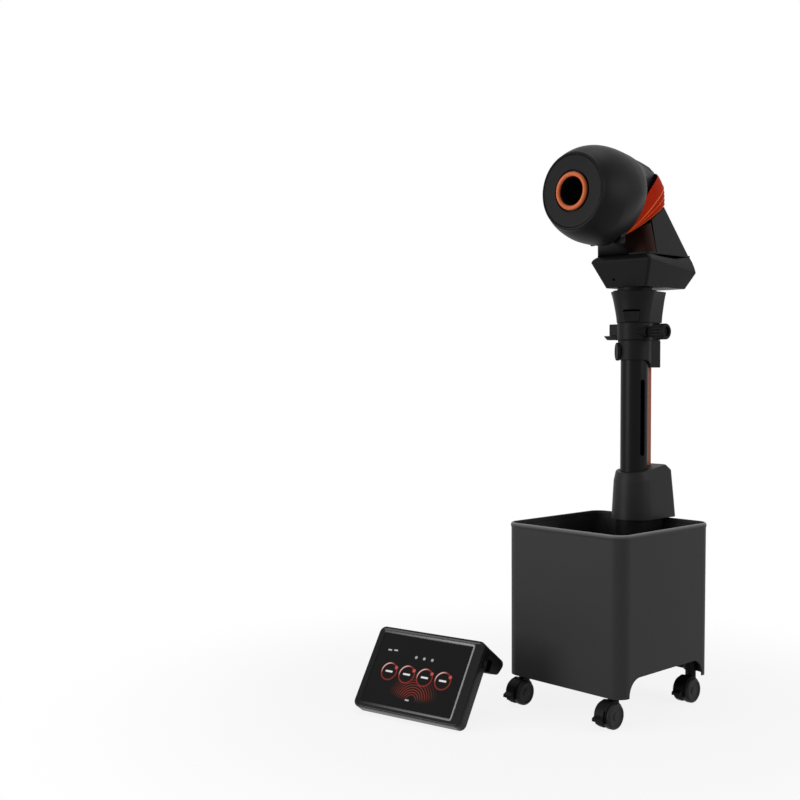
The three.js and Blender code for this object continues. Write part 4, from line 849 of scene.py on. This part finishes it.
front_feet = [front_path(57.5, 47, 841.2), front_path(54.5, 50, 841.2)]
front_heads = [front_path(34.5, 53, top_z), front_path(31.5, 56, top_z)]
outside, inside = [foot + (to_plane(foot, head, FAN_LOW - 2) - foot) * share
                   for foot, head in zip(front_feet, front_heads)]
neck_front = skin(np.concatenate([outside, inside[::-1]]).transpose(1, 0, 2))
# Painted shade and reflection: the front wall's dark brown stands for the shadow under the fan and
# the orange it throws in.
throat_shade_brown = finish("throat_shade_brown", (0.024, 0.009, 0.007), 0.5, grain=0.3, mirror=0.06)
piece("neck_front", neck_front, "turret", throat_shade_brown, ["neck"])
piece("neck_cheeks", together(cheeks, neck_plate), "turret", moulded_black, ["neck"])

# %% [markdown]
# A slim arm runs forward from the front of the plate to the tilt hinge. Its section is a
# small rounded box that moves and narrows evenly. It ends in a knuckle round the pin, and
# room is cut on both sides of that for the eyes of the hoops.

# %% Hinge arm
arm_loops = []
for s in np.linspace(0, 1, 12):
    left_x, right_x = -58 + 39 * s, 14 + 5 * s
    y_front, y_rear = 38 + (HINGE_Y - 5.5 - 38) * s, 52 + (HINGE_Y + 5.5 - 52) * s
    outline = rounded_box((right_x - left_x) / 2, y_front, y_rear, 2.4, 5)
    arm_loops.append(at_height(outline + [(left_x + right_x) / 2, 0], 838.4 + 19.6 * s))
knuckle = hinged([(2.8, -18.6), (5.5, -18.6), (6, -18.1), (6, 18.1), (5.5, 18.6), (2.8, 18.6)],
                 48)
eye_room = [rod(5.7, low, high, HINGE, (1, 0, 0)) for low, high in ((-37, -19.1), (19.1, 37))]
piece("hinge_arm", together(skin(arm_loops), knuckle), "turret", moulded_black, edge=0,
      cuts=eye_room)

# %% [markdown]
# ## Fan
# Five nested hoops close the gap between neck and head at any tilt. The bead along a lower
# edge carries a painted highlight, where it would catch the light: every point of the section
# carries a number that is one on the bead and zero on the band. A second number darkens the
# ends beside the hinge.

# %% Rib finish
rib_orange = finish("rib_orange", (0.42, 0.017, 0.001), 0.5, cloud=0.14, grain=0.2, mirror=0.03)
# A painted highlight in light orange along the hoops' beads.
tinted(rib_orange, "bead_highlight", (0.85, 0.15, 0.04))
tinted(rib_orange, "dark_end", (0.008, 0.006, 0.006))

# %% [markdown]
# Each hoop is a U-shaped outline swept through 7.4 degrees about the hinge, and each is
# slightly smaller than the one above it, so that their lower edges show as steps. The U is
# drawn smoothly through ten places, each a share of the reach and of the half width.

# %% Hoop outline
rib_shares = np.array([
    [0.015, 0.689], [0.050, 0.689], [0.150, 0.800], [0.290, 0.920], [0.450, 0.995],
    [0.610, 1.000], [0.760, 0.950], [0.880, 0.800], [0.960, 0.520], [1.000, 0.000]])
RIB_REACH, RIB_HALF, RIB_STEP, EYE_STEP = 191.0, 45.0, 1.7, 2.4
SWEEP, SWEEP_ROOM, TALLER, EYE_OUT = 7.4, 8, 11, RIB_HALF * 0.689


def rib_outline(inset):
    """Half width against reach, mirrored, and drawn smoothly by the length between knots.
    The hoops stand further apart beside the hinge, where each has its own eye."""
    reach = (RIB_REACH - inset) * rib_shares[:, 0]
    apart = EYE_STEP / RIB_STEP + (1 - EYE_STEP / RIB_STEP) * np.minimum(rib_shares[:, 0] * 2, 1)
    width = RIB_HALF * rib_shares[:, 1] - inset * apart * np.minimum(rib_shares[:, 1] * 2, 1)
    reach = np.concatenate([reach, reach[-2::-1]])
    width = np.concatenate([width, -width[-2::-1]])
    length = np.concatenate([[0], np.cumsum(np.hypot(np.diff(reach), np.diff(width)))])
    at = np.concatenate([np.linspace(0, length[1], 3)[:-1], np.linspace(length[1], length[-2], 97),
                         np.linspace(length[-2], length[-1], 3)[1:]])
    return smooth_through(length, reach, at), smooth_through(length, width, at)


def swept(reach, width, angle):
    """Reach and width beside the hinge, turned up by an angle about it."""
    return np.column_stack([
        width, HINGE_Y + reach * np.cos(angle), HINGE_Z + reach * np.sin(angle)])


print("a hoop's outline has", len(rib_outline(0)[0]), "points")

# %% [markdown]
# A hoop's section has a bead along its lower edge and turns in at its upper one. Each of
# its points follows the U at its own inset and its own share of the sweep. The uppermost
# band is taller beside the head, where it runs up under the shell, and an eye on each side
# takes the pin. A thin shelf from the lowest hoop inward to the neck's rim closes the gap
# behind that rim.

# %% Hoops
# the section's rows: share of the sweep, inset from the outside, and the painted bead highlight
band_section = np.array([
    [0.00, 0.35, 1], [0.01, 0.1, 1], [0.04, -0.05, 1], [0.07, 0.05, 1], [0.09, 0.25, 0.2],
    [0.13, 0.3, 0], [0.40, 0.0, 0], [0.72, 0.0, 0], [0.95, 0.25, 0], [1.0, 0.6, 0],
    [1.0, 1.1, 0], [0.5, 1.15, 0], [0.0, 1.1, 0.5]])


def rib(number):
    """Every section point sweeps from the band's lower angle to its upper one."""
    start = FAN_LOW + 0.3 + (FAN_HIGH - FAN_LOW - SWEEP_ROOM) * number / 4
    inward = 4 - number
    insets = RIB_STEP * inward + band_section[:, 1]
    loops = []
    for inset, share in zip(insets, band_section[:, 0]):
        reach, width = rib_outline(inset)
        taller = TALLER * (number == 4) * np.clip(1 - (reach / RIB_REACH) ** 2, 0, 1)
        loops.append(swept(reach, width, np.radians(start + (SWEEP + taller) * share)))
    hoop = skin(np.array(loops).transpose(1, 0, 2))
    # The painted bead highlight, on the first, third and fifth hoops only.
    bead_highlight = np.tile(band_section[:, 2], len(loops[0])) * (number in (0, 2, 4))
    from_hinge = np.hypot(hoop[0][:, 1] - HINGE_Y, hoop[0][:, 2] - HINGE_Z)
    dark = np.clip((26 - from_hinge) / 8, 0, 1)
    far = EYE_OUT - EYE_STEP * inward
    eyes = [hinged([(2.8, side * (far - 1.7)), (4.7, side * (far - 1.7)),
                    (5, side * (far - 1.5)), (5, side * (far - 0.2)), (4.7, side * far),
                    (2.8, side * far)]) for side in (-1, 1)]
    shape = together(hoop, *eyes)
    rest = len(shape[0]) - len(bead_highlight)
    return shape, {"bead_highlight": np.append(bead_highlight, np.zeros(rest)),
                   "dark_end": np.append(dark, np.ones(rest))}


for number, body in enumerate(("turret", "rib_two", "rib_three", "rib_four", "head")):
    shape, marks = rib(number)
    piece(f"fan_hoop_{number + 1}", shape, body, rib_orange,
          [f"fan_rib_{number + 1}"], edge=0, sharp=50, marks=marks)

shelf_reach, shelf_width = rib_outline(RIB_STEP * 4 + 0.6)
shelf_loops = [swept(shelf_reach * reach_share, shelf_width * width_share,
                     math.radians(angle))[8:-8]
               for reach_share, width_share, angle in (
                   (1, 1, 29.32), (1, 1, 29.72), (0.8, 0.86, 29.72), (0.8, 0.86, 29.32))]
piece("fan_shelf", skin(np.array(shelf_loops).transpose(1, 0, 2)), "turret", moulded_black,
      ["neck"], edge=0)

# %% [markdown]
# ## Head
# The head is an egg whose width, height above the axis and height below it each follow
# their own smooth curve from front to rear. Behind the middle, the underside sharpens into
# a soft keel by raising cosine and sine to a power, and the rear is a little fuller above
# the axis than below it. A sculpted sphere would need many strokes for what twelve rows say.

# %% Head shape
HEAD_Z, HEAD_FRONT, HEAD_LENGTH, HEAD_RADIUS = 943.0, -113.0, 249.0, 92.0
# place along the head, then half width, height above and height below, over the radius
stations = np.array([
    [0.000, 0.735, 0.75, 0.75], [0.050, 0.81, 0.83, 0.84], [0.110, 0.87, 0.9, 0.91],
    [0.200, 0.92, 0.955, 0.975], [0.300, 0.935, 0.96, 1.005], [0.400, 0.905, 0.93, 0.99],
    [0.500, 0.80, 0.89, 0.93], [0.600, 0.60, 0.855, 0.80], [0.700, 0.42, 0.825, 0.62],
    [0.800, 0.33, 0.785, 0.48], [0.900, 0.27, 0.73, 0.38], [1.000, 0.22, 0.665, 0.28]])


def egg(place, angle, inset=0.0):
    """Points of the head: place runs from front to rear, angle round the throwing axis."""
    wide, above, below = (smooth_through(stations[:, 0], stations[:, k], place) * HEAD_RADIUS
                          - inset for k in (1, 2, 3))
    keel = 2 - 0.5 * np.clip((place - 0.2) / 0.25, 0, 1)
    cos, sin = np.cos(angle), np.sin(angle)
    power = np.where(sin < 0, 2 / keel, 1.0)
    fuller = 0.22 * np.maximum(sin, 0) * np.clip((place - 0.4) / 0.3, 0, 1)
    slimmer = 0.06 * np.maximum(-sin, 0) * np.clip((place - 0.2) / 0.25, 0, 1)
    x = wide * (1 + fuller - slimmer) * np.sign(cos) * np.abs(cos) ** power
    z = np.where(sin < 0, below, above) * np.sign(sin) * np.abs(sin) ** power
    y = np.broadcast_to(HEAD_FRONT + HEAD_LENGTH * place, x.shape)
    return np.stack([x, y, HEAD_Z + z], -1)


print("head half width", round(HEAD_RADIUS * float(stations[:, 1].max()), 1), "mm")

# %% [markdown]
# Each column of the grid runs from the front rim only as far as the mouth plane through the
# tilt hinge, so the cut edge is exact and needs no boolean. A narrow nick along each side,
# deeper towards the rear, draws the dark line that runs back behind the widest part.

# %% Head shell
ROUND = 160
round_angle = np.linspace(0, 2 * math.pi, ROUND, endpoint=False)


def egg_columns(inset, first, steps):
    """Columns from the front to the mouth plane. The plane is met where a column's height
    over it changes sign; the rest of the column is spaced evenly before that place."""
    places = np.linspace(first, 1, 500)
    tried = egg(places[:, None], round_angle[None, :], inset)
    over = tried[..., 2] - HINGE_Z - math.tan(math.radians(FAN_HIGH)) * (tried[..., 1] - HINGE_Y)
    hit = np.argmax(over < 0, axis=0)
    columns = np.arange(ROUND)
    before, after = over[hit - 1, columns], over[hit, columns]
    end = places[hit - 1] + (places[hit] - places[hit - 1]) * before / (before - after)
    rows = np.linspace(0, 1, steps)[:, None] ** 1.15
    return egg(first + (end - first) * rows, round_angle[None, :], inset)


outer_skin, inner_skin = egg_columns(0.0, 0.014, 60), egg_columns(3.0, 0.03, 30)[::-1]


def head_circle(radius, back):
    """A circle square to the throwing axis, matched point for point to the egg's columns."""
    return np.column_stack([radius * np.cos(round_angle), np.full(ROUND, HEAD_FRONT + back),
                            HEAD_Z + radius * np.sin(round_angle)])


rim_loops = []
for scale, back in ((0.958, 0.0), (0.974, 0.15), (0.988, 1.0), (0.996, 2.2)):
    rim = outer_skin[0] * [scale, 1, scale] + [0, 0, HEAD_Z * (1 - scale)]
    rim[:, 1] = HEAD_FRONT + back
    rim_loops.append(rim)
shell_loops = np.concatenate([
    rim_loops, outer_skin, inner_skin, [head_circle(radius, back) for radius, back in (
        (35.3, 7.2), (35.3, 4.0), (65.8, 4.0), (65.8, 0.3), (66.1, 0.0))]])
LUG_IN, LUG_OUT, NICK_LOW, NICK_HIGH = 31.3, 36.3, 940.4, 945.2
hinge_room = rod(7, -LUG_IN, LUG_IN, HINGE, (1, 0, 0), 48)
nicks = []
for side in (-1, 1):
    loops = []
    for place, depth in ((0.50, -0.2), (0.56, 1.0), (0.62, 2.0), (0.74, 2.4)):
        x, y, _ = egg(np.array(place), np.array(0.0))
        into, out = side * (x - depth), side * (x + 8)
        loops.append([[into, y, NICK_LOW], [out, y, NICK_LOW], [out, y, NICK_HIGH],
                      [into, y, NICK_HIGH]])
    nicks.append(skin(np.array(loops)))
piece("head_shell", ring(shell_loops), "head", moulded_black, ["pod_shell"],
      edge=0.5, cuts=[hinge_room, *nicks], sharp=40)

# %% [markdown]
# Two lugs inside the shell's lower edge carry it on the hinge pin. Each is a small cheek
# with a round eye, drawn across the hinge.

# %% Head lugs
lug_outline = np.array([[HINGE_Y - 6, HINGE_Z], [HINGE_Y + 3.6, HINGE_Z + 4.8],
                        [HINGE_Y + 9.6, HINGE_Z + 16], [HINGE_Y - 8, HINGE_Z + 16]])
lug_shapes = []
for low, high in ((-LUG_OUT, -LUG_IN), (LUG_IN, LUG_OUT)):
    lug_shapes.append(drawn_out(lug_outline, (low, high)))
    lug_shapes.append(rod(6, low, high, HINGE, (1, 0, 0), 40, core=2.8))
piece("head_lugs", together(*lug_shapes), "head", moulded_black, edge=0.3)

# %% [markdown]
# A flat disc with a rounded edge closes the front of the head, and the orange nozzle ring
# stands out of its middle. The hatch over the ball channel lies on the egg's own surface:
# it is the same formula, a little further out.

# %% Front, nozzle and hatch
def fronted(profile):
    """A closed profile carried round the throwing axis, measured back from the front."""
    return lathe(profile, (0, HEAD_FRONT, HEAD_Z), (0, 1, 0), 128)


piece("front_disc", fronted([
    (38.0, 0.5), (38.4, 0.0), (63.0, 0.0), (64.4, 0.25), (65.2, 0.9), (65.5, 1.8), (65.5, 3.7),
    (38.0, 3.7)]), "head", moulded_black, ["front_plate"], edge=0)
piece("nozzle", fronted(np.concatenate([
    bow(30.3, -0.9, 4.1, 0, -180, 16), [[26.2, 0.5], [34.4, 0.5]]])), "head", nozzle_orange,
      ["nozzle_ring"], edge=0)
piece("nozzle_sleeve", fronted([(25.5, 0.0), (26.1, -0.6), (26.1, 0.7), (34.9, 0.7), (34.9, 9),
                                (25.5, 9)]), "head", inner_black, edge=0)


def hatch_surface(inset):
    """The upper half of the egg as a height over X and Y: its half circle, flattened."""
    y = np.linspace(40.4, 111.6, 40)[:, None]
    half_x = 19 - 3.8 * (y - 40) / 72
    x = half_x * np.linspace(-1, 1, 33)[None, :]
    place = np.broadcast_to((y - HEAD_FRONT) / HEAD_LENGTH, x.shape)
    wide, above = (smooth_through(stations[:, 0], stations[:, k], place) * HEAD_RADIUS - inset
                   for k in (1, 2))
    z = HEAD_Z + above * np.sqrt(np.maximum(1 - (x / wide) ** 2, 0))
    return np.stack([x, np.broadcast_to(y, x.shape), z], -1)


top, low = hatch_surface(-3.2), hatch_surface(1.6)
rows, columns = top.shape[:2]
top_faces = grid_faces(rows, columns, False, False)
low_faces = [[n + rows * columns for n in face[::-1]] for face in top_faces]
rim = np.concatenate([np.arange(columns), np.arange(1, rows) * columns + columns - 1,
                      (rows - 1) * columns + np.arange(columns - 2, -1, -1),
                      np.arange(rows - 2, 0, -1) * columns])
rim_faces = [[a, a + rows * columns, b + rows * columns, b]
             for a, b in zip(rim.tolist(), np.roll(rim, -1).tolist())]
hatch_shape = (np.concatenate([top.reshape(-1, 3), low.reshape(-1, 3)]),
               top_faces + low_faces + rim_faces)
piece("channel_hatch", hatch_shape, "head", moulded_black, ["top_hatch"], edge=1.4)
dress(inner_black, 0.3, "barrel")
dress(frame_aluminium, 0.3, "wheel_frame")
dress(wheel_rubber, 0.3, "upper_wheel", "lower_wheel")
dress(motor_steel, 0.3, "upper_motor", "lower_motor")

# %% [markdown]
# ## Console
# The console is drawn flat, with its width along X and its back on zero, then leaned back
# and turned in one step. Its case and the raised bezel are polished black, so they are
# drawn with finely rounded edges that pick up the light as thin lines. Two ears on its back
# take the leg's pin.

# %% Console frame
LEAN, SWING = math.radians(55), math.radians(11.3)
CONSOLE_X, CONSOLE_Y, FLOOR_LIFT = -167, -353, 3 * math.cos(LEAN)
CONSOLE_HALF, CONSOLE_TOP = 115, 158


def console_place(points):
    """Leans the flat console back about its lower edge, then swings it on the floor."""
    x, y, z = np.moveaxis(np.asarray(points, float), -1, 0)
    far = y * math.cos(LEAN) - z * math.sin(LEAN)
    high = y * math.sin(LEAN) + z * math.cos(LEAN) - FLOOR_LIFT
    return np.stack([CONSOLE_X + x * math.cos(SWING) - far * math.sin(SWING),
                     CONSOLE_Y + x * math.sin(SWING) + far * math.cos(SWING), high], -1)


def leaned(shape):
    """A flat shape with its points leaned and swung, and its faces as they were."""
    return console_place(shape[0]), shape[1]


def flat_box(left, right, low, high, radius, height, steps=8):
    """A rounded box outline at one height above the console's back."""
    outline = rounded_box((right - left) / 2, low, high, radius, steps)
    return at_height(outline + [(left + right) / 2, 0], height)


def console_outline(inset, height):
    """The console's own outline, drawn in by an inset."""
    return flat_box(inset - CONSOLE_HALF, CONSOLE_HALF - inset, inset, CONSOLE_TOP - inset,
                    12 - inset * 0.6, height)


def window_outline(grow, height, radius=2.2):
    """The opening over the screen, wider rim on its right."""
    return flat_box(-103 - grow, 91 + grow, 12 - grow, 146 + grow, radius, height)


case = skin([console_outline(*row) for row in (
    (3, 0), (2.2, 0.2), (0.9, 1.2), (0.2, 2.4), (0, 3.4), (0, 18.6), (0.3, 19.6), (0.9, 20))])
ear_outline = np.array([[107, 1], [107, -7], [109, -9.6], [115, -9.6], [117, -7], [117, 1]])
ears = [drawn_out(ear_outline, pair) for pair in ((-19.3, -15.3), (15.3, 19.3))]
button_hole = rod(5.4, 0, 40, (109, 123.24, 10), (1, 0, 0))
prop_hole = rod(2.8, -30, 30, (0, 112, -5.3), (1, 0, 0), 24)
piece("console_body", leaned(together(case, *ears)), "console", gloss_black, ["console_case"],
      edge=0.2, cuts=[leaned(button_hole), leaned(prop_hole)])

# %% [markdown]
# The bezel's section climbs from the case's edge to a rounded ridge and falls inward in a
# gentle slope that steepens beside the screen. On the right, the steep part carries a
# painted reflection in pale grey.

# %% Bezel
# A painted reflection: pale grey on the steep inner slope of the bezel's right side.
tinted(gloss_black, "bezel_reflection", (0.3, 0.3, 0.3))
bezel_flat = np.array([console_outline(*row) for row in (
    (0.3, 20.3), (0, 20.7), (0, 22.8), (0.4, 24.2), (1.3, 25.0), (2.6, 25.3), (4.2, 25.1),
    (5.4, 24.6))] + [window_outline(*row) for row in (
        (5.0, 24.3, 5), (3.4, 24.1, 4), (1.6, 23.6, 3), (0.5, 22.9, 2.4), (0, 22.5), (0, 20.3))])
# The painted reflection lies on the bezel's steep inner rows, right of X = 88 mm.
bezel_reflection_mask = np.clip((bezel_flat[..., 0] - 88) / 2, 0, 1)
bezel_reflection_mask[:9] = bezel_reflection_mask[13:] = 0
piece("console_frame", ring(console_place(bezel_flat)), "console", gloss_black,
      ["console_bezel"], edge=0, marks={"bezel_reflection": bezel_reflection_mask})

# %% [markdown]
# The screen is lit from behind: four dials in a row, a few plain dots and a soft set of
# arcs. The picture is worked out by distances alone: a disc is where the distance to its
# centre is below a radius, and a ring is where that distance lies between two.

# %% Screen finish
WAVE_LENGTH, DIAL_OUT, DIAL_IN = 4.6, 17, 15


def screen_finish(dials, dots, dashes, arc_centre):
    """Adds up lit shapes over a dark base. Each shape is a smooth step of a distance."""
    material = finish("screen_glass", (0.006, 0.006, 0.0062), 0.16, rough_spread=0.03, mirror=0.07)
    tree = material.node_tree
    link = tree.links.new
    surface = tree.nodes["Principled BSDF"]
    place = add_node(tree, "UVMap", uv_map="screen").outputs["UV"]
    total = None

    def maths(operation, a, b):
        """A sum on two values, each a number or another node's output."""
        node = add_node(tree, "Math", operation=operation)
        for socket, value in zip(node.inputs, (a, b)):
            if isinstance(value, (int, float)):
                socket.default_value = value
            else:
                link(value, socket)
        return node.outputs[0]

    def distance(x, y, squash=(1, 1)):
        """How far a point of the screen lies from a centre."""
        move = add_node(tree, "Mapping", {"Location": (-x * squash[0], -y * squash[1], 0),
                                          "Scale": (*squash, 0)})
        link(place, move.inputs["Vector"])
        length = add_node(tree, "VectorMath", operation="LENGTH")
        link(move.outputs["Vector"], length.inputs[0])
        return length.outputs["Value"]

    def step(value, edge, soft=0.5):
        """One below the edge, nought above it, and even between over a soft width."""
        ramp = add_node(tree, "MapRange", {"From Min": edge - soft, "From Max": edge + soft,
                                           "To Min": 1, "To Max": 0})
        link(value, ramp.inputs["Value"])
        return ramp.outputs["Result"]

    def beyond(value, edge, soft):
        """The other way round: one above the edge."""
        return maths("SUBTRACT", 1.0, step(value, edge, soft))

    def bar(x, y, half_long, half_high):
        """Where a point lies within both half sizes of a short bar."""
        return maths("MULTIPLY", step(distance(x, y, (1, 0)), half_long),
                     step(distance(x, y, (0, 1)), half_high))

    def lit(mask, colour):
        """Lays a colour over what is lit so far, as strongly as its mask says."""
        nonlocal total
        node = add_node(tree, "Mix", {"A": (0.002, 0.002, 0.002, 1), "B": (*colour, 1)},
                        data_type="RGBA")
        link(mask, node.inputs["Factor"])
        if total is not None:
            link(total, node.inputs["A"])
        total = node.outputs["Result"]

    arc_x, arc_y = arc_centre
    far = distance(arc_x, arc_y)
    wave = maths("SINE", maths("MULTIPLY", far, 2 * math.pi / WAVE_LENGTH), 0)
    fade = maths("MULTIPLY", step(far, 40, 14), beyond(far, 9, 2))
    fade = maths("MULTIPLY", fade, step(distance(arc_x, arc_y + 60, (0.6, 1)), 58, 5))
    lit(maths("MULTIPLY", maths("MAXIMUM", wave, 0), fade), (0.24, 0.03, 0.015))
    for x, y in dials:
        near = distance(x, y)
        lit(step(near, DIAL_OUT, 1), (0.1, 0.008, 0.006))
        lit(step(near, DIAL_IN, 1), (0.004, 0.0015, 0.0015))
        band = maths("MULTIPLY", step(near, DIAL_OUT - 0.2, 0.7), beyond(near, DIAL_IN, 0.7))
        lit(maths("MULTIPLY", band, 0.5), (0.4, 0.04, 0.03))
        lit(maths("MULTIPLY", band, step(distance(x - 10, y + 10), 11, 5)), (0.85, 0.5, 0.48))
        lit(step(distance(x + 13, y + 9), 3.2, 0.8), (0.5, 0.08, 0.06))
        lit(bar(x, y, 7.5, 1.6), (0.8, 0.78, 0.76))
    for x, y in dots:
        lit(step(distance(x, y), 2.6, 0.8), (0.4, 0.4, 0.4))
    for x, y in dashes:
        lit(bar(x, y, 4.0, 1.3), (0.5, 0.5, 0.5))
    link(total, surface.inputs["Emission Color"])
    surface.inputs["Emission Strength"].default_value = 1.0
    return material


screen_glass = screen_finish(
    dials=[(-65, 75), (-26, 75), (13, 75), (52, 75)], dots=[(-18, 109), (-0.5, 109), (17, 109)],
    dashes=[(-79, 115), (-66, 116), (-7, 29)], arc_centre=(0, 30))

# %% [markdown]
# The glass is a thin box with a rounded edge. Its UV map is the flat console's own X and Y
# in millimetres, so the dials stay put and their places can be typed as they are measured.

# %% Screen
screen_flat = np.array([window_outline(*row) for row in (
    (-0.3, 20.3, 1.6), (-0.3, 21.9, 1.6), (-0.7, 22.3, 1.4))])
screen = piece("console_glass", skin(console_place(screen_flat)), "console", screen_glass,
               ["console_screen"], edge=0)
screen_uv = screen.data.uv_layers.new(name="screen")
corner_of = np.empty(len(screen.data.loops), int)
screen.data.loops.foreach_get("vertex_index", corner_of)
screen_uv.data.foreach_set("uv", screen_flat.reshape(-1, 3)[corner_of, :2].ravel())
print("screen corners", len(corner_of))

# %% [markdown]
# Behind the top edge, a clip lets the console hang on a rim, and a short leg with a foot
# folds out to hold it at its slope on the floor.

# %% Clip, leg and button
hook_section = np.array([
    [155, -0.3], [155, -51], [154.4, -54.6], [152.6, -57.4], [149.8, -59.3], [146.4, -59.7],
    [142.6, -58.6], [131.4, -53.6], [128.4, -51.4], [126.2, -48.2], [119.6, -30.2],
    [119, -27.4], [119.4, -23], [120.4, -22], [139.6, -22], [141, -20.6], [141, -7.4],
    [139.6, -6], [120.4, -6], [119, -4.8], [119, -0.3]])
piece("console_clip", leaned(drawn_out(hook_section, (-111, 111))), "console", moulded_black,
      ["console_hook"], edge=0.6)
dress(moulded_black, 0.5, "console_prop")
dress(grip_rubber, 0.4, "console_button")

# %% [markdown]
# ## Room and light
# The photograph is a cut-out on white. Here a pale floor takes a soft shadow, and it is
# blended to plain white away from the object so that it has no edge.

# %% Floor
WHITE, FLOOR_HALF = (1, 1, 1, 1), 6.0


def seen_directly(tree):
    """One for a ray that the eye, a mirror or a glass sends out, and nought for others."""
    path = add_node(tree, "LightPath")
    last = path.outputs["Is Camera Ray"]
    for kind in ("Is Glossy Ray", "Is Transmission Ray"):
        either = add_node(tree, "Math", operation="MAXIMUM")
        tree.links.new(last, either.inputs[0])
        tree.links.new(path.outputs[kind], either.inputs[1])
        last = either.outputs[0]
    return last


def blend_to(out, share, first, second, tree):
    """Sends a blend of two surfaces to the output: a share of the second over the first."""
    mix = add_node(tree, "MixShader")
    for value, socket in zip((share, first.outputs[0], second.outputs[0]), mix.inputs):
        tree.links.new(value, socket)
    tree.links.new(mix.outputs[0], out.inputs["Surface"])


def floor_finish():
    """Camera rays see mostly white with a share of the lit floor, and far away only white."""
    material = bpy.data.materials.new("pale_floor")
    material.use_nodes = True
    tree = material.node_tree
    link = tree.links.new
    tree.nodes.clear()
    place = add_node(tree, "TexCoord")
    far = add_node(tree, "VectorMath", operation="LENGTH")
    link(place.outputs["Object"], far.inputs[0])
    away = add_node(tree, "MapRange", {"From Min": 0.35, "From Max": 1.0, "To Min": 0.86,
                                       "To Max": 1.0}, interpolation_type="SMOOTHSTEP")
    link(far.outputs["Value"], away.inputs["Value"])
    share = add_node(tree, "Math", operation="MULTIPLY")
    link(seen_directly(tree), share.inputs[0])
    link(away.outputs["Result"], share.inputs[1])
    blend_to(add_node(tree, "OutputMaterial"), share.outputs[0],
             add_node(tree, "BsdfDiffuse", {"Color": (0.82, 0.82, 0.82, 1)}),
             add_node(tree, "Emission", {"Color": WHITE}), tree)
    return material


floor_mesh = bpy.data.meshes.new("floor")
floor_corners = [(x * FLOOR_HALF, y * FLOOR_HALF, 0) for x, y in
                 ((-1, -1), (1, -1), (1, 1), (-1, 1))]
floor_mesh.from_pydata(floor_corners, [], [(0, 1, 2, 3)])
floor = bpy.data.objects.new("floor", floor_mesh)
bpy.context.collection.objects.link(floor)
floor_mesh.materials.append(floor_finish())
print("floor", 2 * FLOOR_HALF, "m wide")

# %% [markdown]
# One broad key light from the left, a weaker one from the right and a top light keep black
# plastic readable. The room looks white to the eye, but lights the robot only softly.

# %% Light
def lamp(name, place, aim, size, watts):
    """A square area light at a place, turned so that it faces its aim."""
    light = bpy.data.lights.new(name, "AREA")
    light.size, light.energy = size, watts
    thing = bpy.data.objects.new(name, light)
    bpy.context.collection.objects.link(thing)
    thing.location = place
    away = np.subtract(place, aim)
    away /= np.linalg.norm(away)
    across = np.cross([0, 0, 1], away)
    across /= np.linalg.norm(across)
    over = np.cross(away, across)
    thing.rotation_euler = Matrix([
        [across[k], over[k], away[k]] for k in range(3)]).to_euler()


lamp("left", (-1.0, -2.6, 0.8), (0, 0, 0.5), 1.3, 40)
lamp("right", (2.5, 0.9, 1.3), (0, 0, 0.5), 1.3, 21)
lamp("top", (0.1, 0.3, 2.7), (0, 0, 0.8), 1.2, 9)

world = bpy.data.worlds.new("room")
bpy.context.scene.world = world
world.use_nodes = True
tree = world.node_tree
tree.nodes.clear()
soft, plain = (add_node(tree, "Background", {"Color": WHITE, "Strength": strength})
               for strength in (0.25, 1.0))
blend_to(add_node(tree, "OutputWorld"), seen_directly(tree), soft, plain, tree)
bpy.context.scene.view_settings.view_transform = "Standard"
print("lamps", len(bpy.data.lights))
